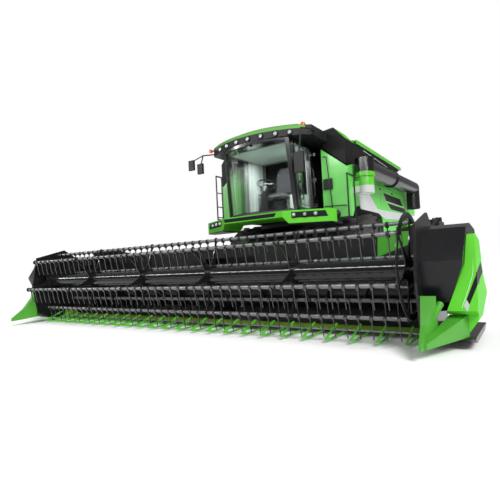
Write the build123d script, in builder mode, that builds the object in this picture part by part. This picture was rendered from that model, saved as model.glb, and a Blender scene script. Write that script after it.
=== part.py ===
from build123d import *
from math import cos, hypot, radians, sin, sqrt
import os

os.makedirs("parts", exist_ok=True)

# Millimetres. The machine faces -Y, +X is its own left side and the ground is Z = 0.
sides = ((1, "left"), (-1, "right"))
seat_gap, run_gap = 0.3, 0.6

# Wheels and axles
front_axle_y, front_tyre_r, front_tyre_w, front_rim_r = -100, 970, 700, 430
rear_axle_y, rear_tyre_r, rear_tyre_w, rear_rim_r = 3700, 700, 480, 320
track_x, lug_h = 1400, 45
hub_r, kingpin_r, spindle_r = 150, 24, 43
kingpin_x = track_x - rear_tyre_w / 2 - 100
axle_z = rear_tyre_r + 40

# Chassis and body
chassis_z, rail_h = front_tyre_r + 140, 140
rail_x0, rail_x1 = 420, 520
arch_z = 2 * front_tyre_r + 150
side_x, skin = 1620, 22
panel_x = side_x - skin
body_front_y, body_rear_y = -1200, 4450
skirt_z, skirt_y0, skirt_y1 = 1150, 1150, 2700
wall = 30

# Cab
cab_z, cab_h = arch_z - 140, 1470
cab_half, cab_top_half = 840, 800
cab_front, cab_top_front, cab_back_y = -1950, -2110, -620
cab_bulge, post, pane = 240, 60, 12
cab_top_z = cab_z + cab_h
roof_half, roof_side_y, roof_front, roof_h = 1060, -2040, -2350, 190

# Grain tank
tank_y0, tank_y1, tank_top_y1 = cab_back_y + 30, 2350, 3100
tank_half = panel_x - 8
tank_z, tank_h, ridge_h = arch_z + 30, 1360, 320
tank_top_z, flare_z = tank_z + tank_h, arch_z + 1110

# Feeder house and its lift cylinders: pin centres in Y and Z
feeder_y, feeder_z, feeder_half, feeder_h = -900, chassis_z + 440, 620, 460
lift_base = (feeder_y + 570, chassis_z - 330)
lift_head = (-2320, 610)
lift_x, barrel_r, ram_r, eye_gap = 580, 60, 35, 15

# Header
cut_half, plate_t, header_back_y, table_depth = 3600, 25, -3120, 980
knife_y, knife_z = header_back_y - table_depth, 75
mouth_half, mouth_z0, mouth_z1 = 590, 335, 1100
beam_z, beam_h = 1200, 120
auger_y, auger_z, auger_r, auger_tube_r = header_back_y - 340, 510, 300, 150
flight_pitch, flight_t = 560, 8
lifter_pitch, finger_pitch = 300, 144
end_x, end_w = cut_half + plate_t, 500
nose_tip_y = -5250
rear_end_y = -nose_tip_y

# Reel
reel_y, reel_z, reel_r = knife_y - 400, 820, 540
reel_half = cut_half - 100
bat_count, bat_r, reel_tube_r, stub_r = 6, 22, 120, 30
first_bat, spider_count = 45, 6
tine_pitch, tine_len, tine_w = 150, 250, 11
ring_dy, ring_dz, ring_w, crank_r = -90, 40, 32, 14
arm_y, arm_z, arm_pin_r = header_back_y + 30, 1420, 20

# Unloading auger, ladder and hitch
spout_x, spout_y, spout_z, spout_r = side_x + 230, -820, arch_z + 740, 180
spout_end_y, spout_rise, spout_joint_y = 3330, 100, 1050
ladder_x, ladder_y, ladder_pin_r = side_x + 265, -1530, 16
hitch_y, hitch_z, hitch_r = rear_end_y - 330, 795, 16


def span(side, near, far):
    return sorted((side * near, side * far))


def mirrored(points, side=-1):
    return [(side * x, v) for x, v in points]


def shifted(points, by_y, by_z):
    return [(y + by_y, z + by_z) for y, z in points]


def shrunk(points, by):
    mid_u = sum(u for u, v in points) / len(points)
    mid_v = sum(v for u, v in points) / len(points)
    return [(u + (by if u < mid_u else -by), v + (by if v < mid_v else -by)) for u, v in points]


def box(x0, x1, y0, y1, z0, z1, mode=Mode.ADD):
    with Locations(((x0 + x1) / 2, (y0 + y1) / 2, (z0 + z1) / 2)):
        Box(x1 - x0, y1 - y0, z1 - z0, mode=mode)


def slab(plane, depth, points, mode=Mode.ADD):
    with BuildSketch(plane) as sk:
        with BuildLine():
            Polyline(*points, close=True)
        make_face()
    extrude(sk.sketch, amount=depth, mode=mode)


def slab_x(x0, x1, points, mode=Mode.ADD):
    slab(Plane.YZ.offset(x0), x1 - x0, points, mode)


def slab_y(y0, y1, points, mode=Mode.ADD):
    slab(Plane.XZ.offset(-y1), y1 - y0, points, mode)


def slab_z(z0, z1, points, mode=Mode.ADD):
    slab(Plane.XY.offset(z0), z1 - z0, points, mode)


def rod(start, end, radius, mode=Mode.ADD):
    along = Vector(*end) - Vector(*start)
    with BuildSketch(Plane(origin=start, z_dir=along)) as sk:
        Circle(radius)
    extrude(sk.sketch, amount=along.length, mode=mode)


def pipe(points, radius):
    for start, end in zip(points, points[1:]):
        rod(start, end, radius)
    for corner in points[1:-1]:
        with Locations(corner):
            Sphere(radius + 0.6)


def round_x(x0, x1, y, z, radius, mode=Mode.ADD):
    rod((x0, y, z), (x1, y, z), radius, mode)


def wedge_y(*stations):
    # each station is y, x0, x1, z0, z1
    faces = []
    for y, x0, x1, z0, z1 in stations:
        with BuildSketch(Plane.XZ.offset(-y)) as sk:
            with Locations(((x0 + x1) / 2, (z0 + z1) / 2)):
                Rectangle(abs(x1 - x0), z1 - z0)
        faces.append(sk.sketch.face())
    loft(faces, ruled=True)


def save(builder, name):
    builder.part.label = name
    export_step(builder.part, f"parts/{name}.step")


# Tyres and rims: columns are name, axle y, tyre radius, width, rim radius, lugs a side
wheel_table = [
    ("front", front_axle_y, front_tyre_r, front_tyre_w, front_rim_r, 18),
    ("rear", rear_axle_y, rear_tyre_r, rear_tyre_w, rear_rim_r, 16),
]
lug_w, lug_root, shoulder, disc_t = 55, 12, 70, 30
for axle, wheel_y, radius, width, rim_r, lugs in wheel_table:
    carcass, half = radius - lug_h, width / 2
    belly = rim_r + (carcass - rim_r) * 0.35
    with BuildPart() as tyre:
        with BuildSketch(Plane.XY):
            with BuildLine():
                Polyline((-half * 0.78, rim_r), (-half, belly), (-half * 0.97, carcass - shoulder),
                         (-half * 0.8, carcass), (half * 0.8, carcass), (half * 0.97, carcass - shoulder),
                         (half, belly), (half * 0.78, rim_r), close=True)
            make_face()
        revolve(axis=Axis.X)
        lug_spots = []
        for k in range(lugs):
            for side in (-1, 1):
                turn = radians(360 / lugs * (k + (0.5 if side > 0 else 0)))
                outward = Vector(0, sin(turn), cos(turn))
                rolling = Vector(0, cos(turn), -sin(turn))
                slant = Vector(side * 0.78, 0, 0) + rolling * 0.62
                middle = Vector(side * half * 0.49, 0, 0) + outward * (carcass + lug_h / 2 - lug_root)
                lug_spots.append(Plane(origin=middle, x_dir=slant, z_dir=outward).location)
        with Locations(*lug_spots):
            Box(width * 0.56, lug_w, lug_h + 2 * lug_root)
        with Locations(Plane.YZ.location):
            Cylinder(radius, width, mode=Mode.INTERSECT)
    with BuildPart() as rim:
        with BuildSketch(Plane.XY):
            with BuildLine():
                Polyline((half * 0.78, rim_r - seat_gap), (half * 0.78, rim_r - disc_t),
                         (half * 0.15, rim_r - 2 * disc_t), (half * 0.05, hub_r), (half * 0.3, hub_r - 20),
                         (half * 0.3, 0), (-half * 0.1, 0), (-half * 0.1, hub_r), (0, rim_r - 3 * disc_t),
                         (-half * 0.78, rim_r - disc_t), (-half * 0.78, rim_r - seat_gap), close=True)
            make_face()
        revolve(axis=Axis.X)
    for form, name in ((tyre, "tyre"), (rim, "rim")):
        for side, suffix in sides:
            with BuildPart() as placed:
                with Locations((track_x, wheel_y, radius)):
                    add(form.part)
                if side < 0:
                    mirror(about=Plane.YZ, mode=Mode.REPLACE)
            save(placed, f"{axle}_{name}_{suffix}")

# Front axle with its final drives
front_hub_x = track_x - front_tyre_w * 0.05 - seat_gap
drive_x, drive_r = track_x - front_tyre_w / 2 - 230, 190
with BuildPart() as front_axle:
    box(-drive_x, drive_x, front_axle_y - 140, front_axle_y + 140, front_tyre_r - 140, chassis_z)
    for side in (-1, 1):
        round_x(side * (drive_x - 80), side * (drive_x + 150), front_axle_y, front_tyre_r, drive_r)
        round_x(side * drive_x, side * front_hub_x, front_axle_y, front_tyre_r, hub_r - 10)
save(front_axle, "front_axle")

# Rear axle beam with its king-pin eyes: plate columns are low and high Z from the axle line
eye_plates = [(-130, -85), (95, 140)]
with BuildPart() as rear_axle:
    box(100 - kingpin_x, kingpin_x - 100, rear_axle_y - 90, rear_axle_y + 90, axle_z - 80, axle_z + 90)
    box(-150, 150, rear_axle_y - 130, rear_axle_y + 130, axle_z + 90, chassis_z + 20)
    for side in (-1, 1):
        for z0, z1 in eye_plates:
            box(side * kingpin_x - 60, side * kingpin_x + 60, rear_axle_y - 60, rear_axle_y + 60,
                axle_z + z0, axle_z + z1)
        x0, x1 = span(side, kingpin_x - 125, kingpin_x - 78)
        box(x0, x1, rear_axle_y - 60, rear_axle_y + 60, axle_z + eye_plates[0][0], axle_z + eye_plates[1][1])
        x0, x1 = span(side, kingpin_x - 80, kingpin_x)
        for z0, z1 in eye_plates:
            box(x0, x1, rear_axle_y - 60, rear_axle_y + 60, axle_z + z0, axle_z + z1)
        with Locations((side * kingpin_x, rear_axle_y, axle_z)):
            Cylinder(kingpin_r + run_gap, 400, mode=Mode.SUBTRACT)
save(rear_axle, "rear_axle")

rear_hub_x = track_x - rear_tyre_w * 0.05 - seat_gap
for side, suffix in sides:
    with BuildPart() as knuckle:
        with Locations((side * kingpin_x, rear_axle_y, axle_z + 5)):
            Cylinder(kingpin_r, 290)
            Cylinder(58, 168)
        round_x(side * kingpin_x, side * rear_hub_x, rear_axle_y, rear_tyre_r, spindle_r)
        round_x(side * (kingpin_x + 120), side * rear_hub_x, rear_axle_y, rear_tyre_r, spindle_r + 40)
        box(side * kingpin_x - 18, side * kingpin_x + 18, rear_axle_y - 260, rear_axle_y - 40,
            axle_z - 30, axle_z)
    save(knuckle, f"knuckle_{suffix}")

# Chassis: rails, cross-members, feeder brackets, cylinder brackets and the tail with its hitch
bracket_x = feeder_half + 65
rail_z1 = chassis_z + rail_h
feeder_bracket = [(-100, feeder_z - 90), (-100, feeder_z + 70), (0, feeder_z + 130),
                  (100, feeder_z + 130), (100, rail_z1), (210, rail_z1), (210, chassis_z), (100, chassis_z)]
lift_bracket = [(0, -80), (-90, -20), (-70, chassis_z - lift_base[1]), (85, chassis_z - lift_base[1]),
                (85, -80)]
cross_ys = (-200, 800, 1800, 2800, 3600, 4600)
with BuildPart() as chassis:
    for side in (-1, 1):
        x0, x1 = span(side, rail_x0, rail_x1)
        box(x0, x1, feeder_y + 200, hitch_y - 180, chassis_z, rail_z1)
        x0, x1 = span(side, bracket_x - 15, bracket_x + 15)
        slab_x(x0, x1, shifted(feeder_bracket, feeder_y, 0))
        x0, x1 = span(side, rail_x0, bracket_x + 15)
        box(x0, x1, feeder_y + 110, feeder_y + 210, chassis_z, rail_z1)
        round_x(side * bracket_x - 40, side * bracket_x + 40, feeder_y, feeder_z, 45 + run_gap,
                mode=Mode.SUBTRACT)
        x0, x1 = span(side, rail_x1 - 40, rail_x1)
        slab_x(x0, x1, shifted(lift_bracket, *lift_base))
        round_x(x0 - 5, x1 + 5, *lift_base, 30 + run_gap, mode=Mode.SUBTRACT)
    for y in cross_ys:
        box(-rail_x0, rail_x0, y, y + 100, chassis_z + 20, rail_z1 - 20)
    box(-90, 90, hitch_y - 180, hitch_y + 70, hitch_z - 35, hitch_z + 35)
    box(-90, 90, hitch_y - 280, hitch_y - 120, hitch_z + 35, rail_z1 - 20)
    with Locations((0, hitch_y, hitch_z)):
        Cylinder(hitch_r, 200, mode=Mode.SUBTRACT)
save(chassis, "chassis_frame")

# Threshing housing between the wheels, and the engine behind the tank
floor_t = 60
thresher_half, step_z, thresher_top = 780, cab_z - floor_t - seat_gap, tank_z - 60
thresher_low = rail_z1 + seat_gap
thresher_side = [(-790, thresher_low), (-790, step_z), (cab_back_y + 40, step_z),
                 (cab_back_y + 40, thresher_top), (4200, thresher_top), (4200, 1500), (3500, thresher_low)]
with BuildPart() as thresher:
    slab_x(-thresher_half, thresher_half, thresher_side)
save(thresher, "thresher_housing")

with BuildPart() as engine:
    box(-560, 560, tank_y1 + 100, tank_y1 + 1150, thresher_top + seat_gap, tank_z + 780)
save(engine, "engine_block")

# Side panels with raked grilles and a skirt between the wheels
arch_y0, arch_y1 = front_axle_y - 960, front_axle_y + 800
panel_side = [
    (body_front_y, arch_z - 290), (arch_y0, arch_z - 290), (arch_y0 + 160, arch_z - 80),
    (arch_y0 + 360, arch_z), (arch_y1, arch_z), (arch_y1 + 300, arch_z - 140),
    (skirt_y0 + 30, skirt_z + 60), (skirt_y0 + 90, skirt_z),
    (skirt_y1 - 200, skirt_z - 60), (skirt_y1, arch_z - 200), (skirt_y1 + 150, arch_z + 40),
    (body_rear_y, arch_z + 140), (body_rear_y + 60, arch_z + 410), (body_rear_y - 60, arch_z + 870),
    (-300, arch_z + 990), (body_front_y, arch_z + 770),
]
wall_front = [(1060, arch_z - 290), (panel_x, arch_z - 290), (panel_x, arch_z + 770),
              (1060, arch_z + 1210)]
skirt_slot = [(0, 0), (150, 0), (60, 330), (-60, 330)]
# grille columns are low Z, its Y ends there, high Z and its Y ends there
grilles = [(arch_z + 130, 1800, 3450, arch_z + 260, 1490, 3190),
           (arch_z + 310, 1410, 3050, arch_z + 490, 1190, 2760)]
slat_count, slat_h, grille_depth, slat_depth = 4, 14, 14, 2
slot_count, slot_y0, slot_step = 3, 420, 330
for side, suffix in sides:
    with BuildPart() as panel:
        x0, x1 = span(side, panel_x, side_x)
        slab_x(x0, x1, panel_side)
        slab_y(body_front_y, body_front_y + skin, mirrored(wall_front, side))
        for low, low_y0, low_y1, high, high_y0, high_y1 in grilles:
            rake = [(high_y0, high), (high_y1, high), (low_y1, low), (low_y0, low)]
            slab_x(x0 - 5, x1 + 5, rake, mode=Mode.SUBTRACT)
            slab_x(*span(side, panel_x, side_x - grille_depth), rake)
            for k in range(slat_count):
                part_up = (k + 1) / (slat_count + 1)
                z = low + (high - low) * part_up
                y0 = low_y0 + (high_y0 - low_y0) * part_up
                y1 = low_y1 + (high_y1 - low_y1) * part_up
                box(*span(side, panel_x, side_x - slat_depth), y0, y1, z, z + slat_h)
        for k in range(slot_count):
            slot = shifted(skirt_slot, skirt_y0 + slot_y0 + slot_step * k, skirt_z + 180)
            slab_x(x0 - 5, x1 + 5, slot, mode=Mode.SUBTRACT)
    save(panel, f"side_panel_{suffix}")

# Grain tank: open-topped hopper, flared over the engine, with the two cheeks beside the cab roof
cheek = [(tank_half, arch_z + 805), (tank_half, tank_top_z - 40), (tank_half - 230, tank_top_z + 220),
         (1085, tank_top_z + 190), (1085, arch_z + 1240)]
cheek_back = tank_y0 + 3
with BuildPart() as tank:
    slab_x(-tank_half, tank_half,
           [(tank_y0, tank_z), (tank_y0, tank_top_z), (tank_top_y1, tank_top_z), (tank_y1, flare_z),
            (tank_y1, tank_z)])
    slab_x(wall - tank_half, tank_half - wall,
           [(tank_y0 + wall, tank_z + wall), (tank_y0 + wall, tank_top_z + 10),
            (tank_top_y1 - 59, tank_top_z + 10), (tank_y1 - wall, flare_z + 21),
            (tank_y1 - wall, tank_z + wall)], mode=Mode.SUBTRACT)
    for side in (-1, 1):
        slab_y(body_front_y + 3, cheek_back, mirrored(cheek, side))
        slab_y(body_front_y + 3 + wall, tank_y0 - wall, mirrored(shrunk(cheek, wall), side),
               mode=Mode.SUBTRACT)
save(tank, "grain_tank")

# Tank covers: two halves that meet at a ridge and hinge at the outer edges
hinge_r = 15
hinge_x, hinge_z = tank_half + hinge_r + seat_gap, tank_top_z - 20
cover_y0, cover_y1 = tank_y0 + 40, tank_top_y1 - 10
for side, suffix in sides:
    with BuildPart() as cover:
        roof_line = [(6, tank_top_z + ridge_h), (6, tank_top_z + ridge_h - 20),
                     (tank_half - 20, tank_top_z + 20), (hinge_x - 8, tank_top_z + 20),
                     (hinge_x - 8, hinge_z), (hinge_x + 15, hinge_z), (hinge_x + 15, tank_top_z + 50),
                     (tank_half - 10, tank_top_z + 50)]
        slab_y(cover_y0, cover_y1, mirrored(roof_line, side))
        gable = [(8, tank_top_z + ridge_h - 15), (8, tank_top_z + 40), (tank_half - 40, tank_top_z + 30),
                 (tank_half - 40, tank_top_z + 40)]
        for y in (cover_y0, cover_y1 - 30):
            slab_y(y, y + 30, mirrored(gable, side))
        rod((side * hinge_x, cover_y0, hinge_z), (side * hinge_x, cover_y1, hinge_z), hinge_r)
    save(cover, f"tank_cover_{suffix}")

# Engine deck with the exhaust, rear hood and chopper
hood_y0, hood_half, hood_z0 = 4395, 1400, arch_z - 340
deck_half = panel_x - seat_gap
with BuildPart() as deck:
    slab_x(-deck_half, deck_half,
           [(tank_y1 + seat_gap, arch_z + 840), (tank_y1 + seat_gap, arch_z + 1090), (3300, arch_z + 1130),
            (hood_y0, arch_z + 915), (hood_y0, arch_z + 840)])
    with Locations((900, 3300, arch_z + 1210)):
        Cylinder(75, 300)
save(deck, "engine_deck")

with BuildPart() as hood:
    slab_x(-hood_half, hood_half,
           [(hood_y0, hood_z0), (hood_y0, arch_z + 910), (hood_y0 + 500, arch_z + 640),
            (rear_end_y - 30, arch_z - 60), (rear_end_y, hood_z0)])
    chamfer(hood.faces().sort_by(Axis.Y)[-2:].edges().filter_by(Axis.X, reverse=True), length=60)
save(hood, "rear_hood")

with BuildPart() as chopper:
    slab_x(-900, 900, [(4200, 1500), (4200, hood_z0), (rear_end_y - 60, hood_z0),
                       (rear_end_y - 10, 1300), (rear_end_y - 250, 1260), (4500, 1300)])
save(chopper, "chopper_housing")

# Cab: a lofted shell with window openings, its panes, door, roof and fittings


def cab_face(z, half, front, back, bulge):
    with BuildSketch(Plane.XY.offset(z)) as sk:
        with BuildLine():
            ThreePointArc((-half, front), (0, front - bulge), (half, front))
            Polyline((half, front), (half, back), (-half, back), (-half, front))
        make_face()
    return sk.sketch.face()


def cab_wall_x(z):
    return cab_half + (cab_top_half - cab_half) * (z - cab_z) / cab_h


def cab_skin(rise, inset, back_inset, mode=Mode.ADD):
    loft([cab_face(cab_z + rise, cab_half - inset, cab_front + inset, cab_back_y - back_inset, cab_bulge),
          cab_face(cab_top_z - rise, cab_top_half - inset, cab_top_front + inset, cab_back_y - back_inset,
                   cab_bulge)], mode=mode)


door_gap, door_t, door_frame, door_pin_r = 12, 34, 62, 14
door_pin = (cab_half + 75, -1212)
hinge_zs = (cab_z + 180, cab_z + 720, cab_z + 1260)
pillar = post + 5
front_window = [(pillar - cab_half, cab_z + post), (cab_half - pillar, cab_z + post),
                (cab_top_half - pillar, cab_top_z - 60), (pillar - cab_top_half, cab_top_z - 60)]
side_window = [(cab_front + 70, cab_z + 60), (-1290, cab_z + 60), (-1290, cab_top_z - 70),
               (cab_top_front + 70, cab_top_z - 70)]
rear_window = [(130 - cab_half, cab_z + 550), (cab_half - 130, cab_z + 550),
               (cab_half - 130, cab_top_z - 80), (130 - cab_half, cab_top_z - 80)]
with BuildPart() as cab:
    cab_skin(0, 0, 0)
    cab_skin(post, post, post, mode=Mode.SUBTRACT)
    slab_y(cab_front - 700, cab_front + 450, front_window, mode=Mode.SUBTRACT)
    slab_x(-1000, 1000, side_window, mode=Mode.SUBTRACT)
    slab_y(cab_back_y - 80, cab_back_y + 20, rear_window, mode=Mode.SUBTRACT)
    for z in hinge_zs:
        box(cab_wall_x(z) - 20, door_pin[0] + 12, door_pin[1] - 14, door_pin[1] + 14, z + 31, z + 45)
        with Locations((*door_pin, z + 7)):
            Cylinder(door_pin_r, 76)
save(cab, "cab_shell")

with BuildPart() as windows:
    slab_y(cab_front - 700, cab_front + 450, shrunk(front_window, seat_gap))
    slab_x(-1000, 0, shrunk(side_window, seat_gap))
    slab_y(cab_back_y - 80, cab_back_y + 20, shrunk(rear_window, seat_gap))
with BuildPart() as glass:
    cab_skin(10, 20, 20)
    cab_skin(9, 20 + pane, 20 + pane, mode=Mode.SUBTRACT)
    add(windows.part, mode=Mode.INTERSECT)
save(glass, "cab_glass")

# The door hangs on an upright hinge pin behind it, and its pane lies in a rounded frame
side_plane = Plane(origin=(cab_half, 0, cab_z), x_dir=(0, 1, 0), z_dir=(cab_h, 0, cab_half - cab_top_half))
door_outline = [(cab_front + 30, 30), (-1250, 30), (-1250, cab_h - 40), (cab_top_front + 50, cab_h - 40)]
pane_outline = shrunk(door_outline, door_frame)
with BuildPart() as door:
    with BuildSketch(side_plane.offset(door_gap)) as door_rim:
        with BuildLine():
            Polyline(*door_outline, close=True)
        make_face()
        fillet(door_rim.vertices(), radius=90)
    extrude(door_rim.sketch, amount=door_t)
    with BuildSketch(side_plane.offset(door_gap)) as door_light:
        with BuildLine():
            Polyline(*pane_outline, close=True)
        make_face()
        fillet(door_light.vertices(), radius=70)
    extrude(door_light.sketch, amount=door_t, mode=Mode.SUBTRACT)
    for z in hinge_zs:
        box(cab_wall_x(z) + door_gap + 6, door_pin[0], -1275, door_pin[1] - 5, z - 30, z + 30)
        with Locations((*door_pin, z)):
            Cylinder(door_pin_r + 10, 60)
            Cylinder(door_pin_r + run_gap, 80, mode=Mode.SUBTRACT)
save(door, "cab_door")

with BuildPart() as door_pane:
    with BuildSketch(side_plane.offset(door_gap + 8)) as pane_face:
        with BuildLine():
            Polyline(*shrunk(pane_outline, seat_gap), close=True)
        make_face()
        fillet(pane_face.vertices(), radius=70)
    extrude(amount=pane)
save(door_pane, "door_glass")


# Round lamps set in pockets: each row is x and lamp radius
def arc_y(x, half, side_y, front_y):
    bow = side_y - front_y
    radius = (half * half + bow * bow) / (2 * bow)
    return front_y + radius - sqrt(radius * radius - x * x)


roof_lamps = [(0, 48), (300, 48), (-300, 48), (600, 48), (-600, 48), (860, 48), (-860, 48)]
apron_lamps = [(side * x, 42) for x in (900, 1080, 1260) for side in (-1, 1)]
apron_half, apron_flat, apron_low = 1520, 700, cab_z - 260
apron_y0, apron_y1, apron_back = cab_front - 380, cab_front + 60, cab_front + 310
apron_slope = (apron_y1 - apron_y0) / (apron_half - apron_flat)
roof_spots = [(x, arc_y(x, roof_half, roof_side_y, roof_front), cab_top_z + 65, r) for x, r in roof_lamps]
apron_spots = [(x, apron_y0 + (abs(x) - apron_flat) * apron_slope, cab_z - 85, r) for x, r in apron_lamps]


def lamp_bodies(spots, extra, mode):
    for x, y, z, r in spots:
        with Locations((x, y + 12, z)):
            Cylinder(r + extra, 52 + extra, rotation=(90, 0, 0), mode=mode)


roof_wing, wing_y0, wing_y1 = 1220, -1930, -1215
beacon_x, beacon_y, beacon_r, beacon_h, crest_h = 950, -1750, 60, 220, 150
roof_z1, roof_back = cab_top_z + seat_gap + roof_h, cab_back_y - 20
with BuildPart() as roof:
    with BuildSketch(Plane.XY.offset(cab_top_z + seat_gap)) as roof_face:
        with BuildLine():
            ThreePointArc((-roof_half, roof_side_y), (0, roof_front), (roof_half, roof_side_y))
            Polyline((roof_half, roof_side_y), (roof_wing, wing_y0), (roof_wing, wing_y1),
                     (roof_half, wing_y1), (roof_half, roof_back), (-roof_half, roof_back),
                     (-roof_half, wing_y1), (-roof_wing, wing_y1), (-roof_wing, wing_y0),
                     (-roof_half, roof_side_y))
        make_face()
    extrude(roof_face.sketch, amount=roof_h)
    lamp_bodies(roof_spots, seat_gap, Mode.SUBTRACT)
save(roof, "roof_band")

with BuildPart() as crest:
    loft([cab_face(roof_z1, roof_half - 60, roof_side_y + 30, roof_back, 300),
          cab_face(roof_z1 + crest_h * 0.6, roof_half - 140, roof_side_y + 150, roof_back - 40, 260),
          cab_face(roof_z1 + crest_h, roof_half - 400, roof_side_y + 380, roof_back - 140, 180)], ruled=True)
    for side in (-1, 1):
        with Locations((side * beacon_x, beacon_y, roof_z1)):
            Cylinder(beacon_r + 20, 3 * crest_h, mode=Mode.SUBTRACT)
save(crest, "roof_crest")

with BuildPart() as beacon:
    for side in (-1, 1):
        with Locations((side * beacon_x, beacon_y, roof_z1 + seat_gap + beacon_h / 2)):
            Cylinder(beacon_r, beacon_h)
    fillet(beacon.faces().group_by(Axis.Z)[-1].edges(), radius=beacon_r * 0.6)
save(beacon, "beacons")

# Apron under the windscreen
apron_edge = [(-apron_half, apron_y1), (-apron_flat, apron_y0), (apron_flat, apron_y0),
              (apron_half, apron_y1), (apron_half, apron_back), (-apron_half, apron_back)]
undercut_low, undercut_high = (880, apron_low - 90), (apron_flat, cab_z - 120)
undercut = [*mirrored([undercut_high, undercut_low]), undercut_low, undercut_high]
with BuildPart() as apron:
    slab_z(apron_low, cab_z - seat_gap, apron_edge)
    slab_y(apron_y0 - 70, apron_back + 40, undercut, mode=Mode.SUBTRACT)
    box(-apron_flat, apron_flat, apron_back, cab_back_y, cab_z - floor_t, cab_z - seat_gap)
    lamp_bodies(apron_spots, seat_gap, Mode.SUBTRACT)
save(apron, "cab_apron")

# Walkway beside the door with its rails, and the rails on the far side
deck_z0, deck_z1 = apron_low + 50, apron_low + 100
walk_x0, walk_x1, walk_y0, walk_y1 = 790, side_x + 180, apron_back, body_front_y - seat_gap
with BuildPart() as walkway:
    box(walk_x0, walk_x1, walk_y0, walk_y1, deck_z0, deck_z1)
    for x in (walk_x0 + 10, apron_half - 100, walk_x1 - 50):
        box(x, x + 40, walk_y0, walk_y1, deck_z0 - 50, deck_z0)
    rail_x, rail_top = walk_x1 - 50, deck_z1 + 830
    pipe([(rail_x, walk_y0 + 40, deck_z1), (rail_x, walk_y0 + 40, rail_top),
          (rail_x, walk_y1 - 30, rail_top), (rail_x, walk_y1 - 30, deck_z1)], 16)
    grab_y = walk_y1 - 40
    pipe([(1280, grab_y, deck_z1), (1270, grab_y, cab_z + 120), (1190, grab_y, cab_z + 1150),
          (1110, grab_y + 25, cab_z + 1180)], 12)
    for x, z in ((1240, cab_z + 550), (1270, cab_z + 120)):
        pipe([(x, grab_y, z), (x, walk_y1 - 10, z)], 10)
    pin_x = ladder_x
    box(walk_x1 - 10, pin_x + 25, ladder_y - 25, ladder_y + 25, deck_z0 + 5, deck_z1 - 5)
    with Locations((pin_x, ladder_y, deck_z0 - 55)):
        Cylinder(ladder_pin_r, 120)
    box(-walk_x1 + 500, -1200, cab_front + 250, cab_front + 310, cab_z - seat_gap, cab_z + 19)
    rail_y = cab_front + 280
    for z in (cab_z + 110, cab_z + 350, cab_z + 670):
        pipe([(-1240, rail_y, z), (-1240, rail_y - 200, z)], 12)
    pipe([(-1240, rail_y, cab_z + 19), (-1240, rail_y, cab_z + 1050), (-1240, rail_y - 200, cab_z + 1050),
          (-1240, rail_y - 200, cab_z + 60), (-1240, rail_y, cab_z + 60)], 16)
save(walkway, "walkway")

far_mirror_y, near_mirror_y, mirror_t = roof_side_y - 40, roof_side_y - 210, 60
mirror_z0 = cab_top_z + 80
with BuildPart() as mirrors:
    for side in (-1, 1):
        box(*span(side, roof_wing + seat_gap, roof_wing + 25), wing_y0 + 30, wing_y0 + 90,
            mirror_z0 - 30, mirror_z0 + 30)
    pipe([(roof_wing + 20, wing_y0 + 60, mirror_z0), (roof_wing + 20, wing_y0 - 80, mirror_z0),
          (1150, near_mirror_y, mirror_z0 - 20), (1080, near_mirror_y, mirror_z0 - 500)], 14)
    with Locations((1080, near_mirror_y, cab_z + 890)):
        Box(190, mirror_t, 390)
    pipe([(-roof_wing - 16, wing_y0 + 60, mirror_z0), (-1420, far_mirror_y, mirror_z0 - 30),
          (-1500, far_mirror_y, mirror_z0 - 250)], 14)
    pipe([(-1420, far_mirror_y, mirror_z0 - 30), (-1760, far_mirror_y + 20, mirror_z0 - 100)], 12)
    with Locations((-1510, far_mirror_y, mirror_z0 - 320), (-1790, far_mirror_y + 20, mirror_z0 - 190)):
        Box(150, mirror_t, 230)
save(mirrors, "mirrors")

with BuildPart() as lamps:
    lamp_bodies(roof_spots, 0, Mode.ADD)
    lamp_bodies(apron_spots, 0, Mode.ADD)
save(lamps, "lamps")

floor_z = cab_z + post + seat_gap
with BuildPart() as seat:
    box(-180, 180, -1380, -1020, floor_z, floor_z + 370)
    box(-230, 230, -1430, -970, floor_z + 370, floor_z + 470)
    slab_x(-230, 230, [(-1000, floor_z + 470), (-900, floor_z + 470), (-820, floor_z + 1140),
                       (-900, floor_z + 1140)])
    box(-400, -270, -1450, -1000, floor_z, floor_z + 550)
save(seat, "cab_seat")

with BuildPart() as controls:
    slab_x(-60, 60, [(-2000, floor_z), (-1850, floor_z), (-1680, floor_z + 622), (-1760, floor_z + 640)])
    with Locations(Location((0, -1710, floor_z + 630), (-25, 0, 0))):
        Torus(190, 16)
        Box(360, 30, 20)
    box(420, 560, -1400, -1370, floor_z + 590, floor_z + 840)
    box(480, 500, -1390, -1370, floor_z, floor_z + 590)
save(controls, "driver_controls")

# Ladder on an upright pin outside the walkway, and the rotary dust screen on the right
ladder_w, rung_t, rung_gap, ladder_low = 400, 30, 270, 560
with BuildPart() as ladder:
    ladder_top = deck_z0 - 55
    for x in (ladder_x - 15, ladder_x + ladder_w - 15):
        box(x, x + 30, ladder_y - 30, ladder_y + 30, ladder_low, ladder_top)
    for k in range(4):
        z = ladder_low + 40 + rung_gap * k
        box(ladder_x - 15, ladder_x + ladder_w + 15, ladder_y - 70, ladder_y + 70, z, z + rung_t)
    with Locations((ladder_x, ladder_y, ladder_top - 30)):
        Cylinder(ladder_pin_r + 16, 60)
    with Locations((ladder_x, ladder_y, ladder_top - 5)):
        Cylinder(ladder_pin_r + run_gap, 140, mode=Mode.SUBTRACT)
save(ladder, "ladder")

with BuildPart() as screen:
    round_x(-side_x - 42, -side_x - seat_gap, 3650, arch_z + 510, 300)
save(screen, "dust_screen")

# Unloading auger: a fixed turret and the swinging tube
collar_r, collar_h = spout_r + 14, 390
turret_top = spout_z + 5 - collar_h / 2 - seat_gap
with BuildPart() as turret:
    rod((spout_x, spout_y, arch_z + 210), (spout_x, spout_y, turret_top), spout_r - 10)
    box(side_x, spout_x, spout_y - 150, spout_y + 150, arch_z + 230, arch_z + 470)
save(turret, "unload_turret")

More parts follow.
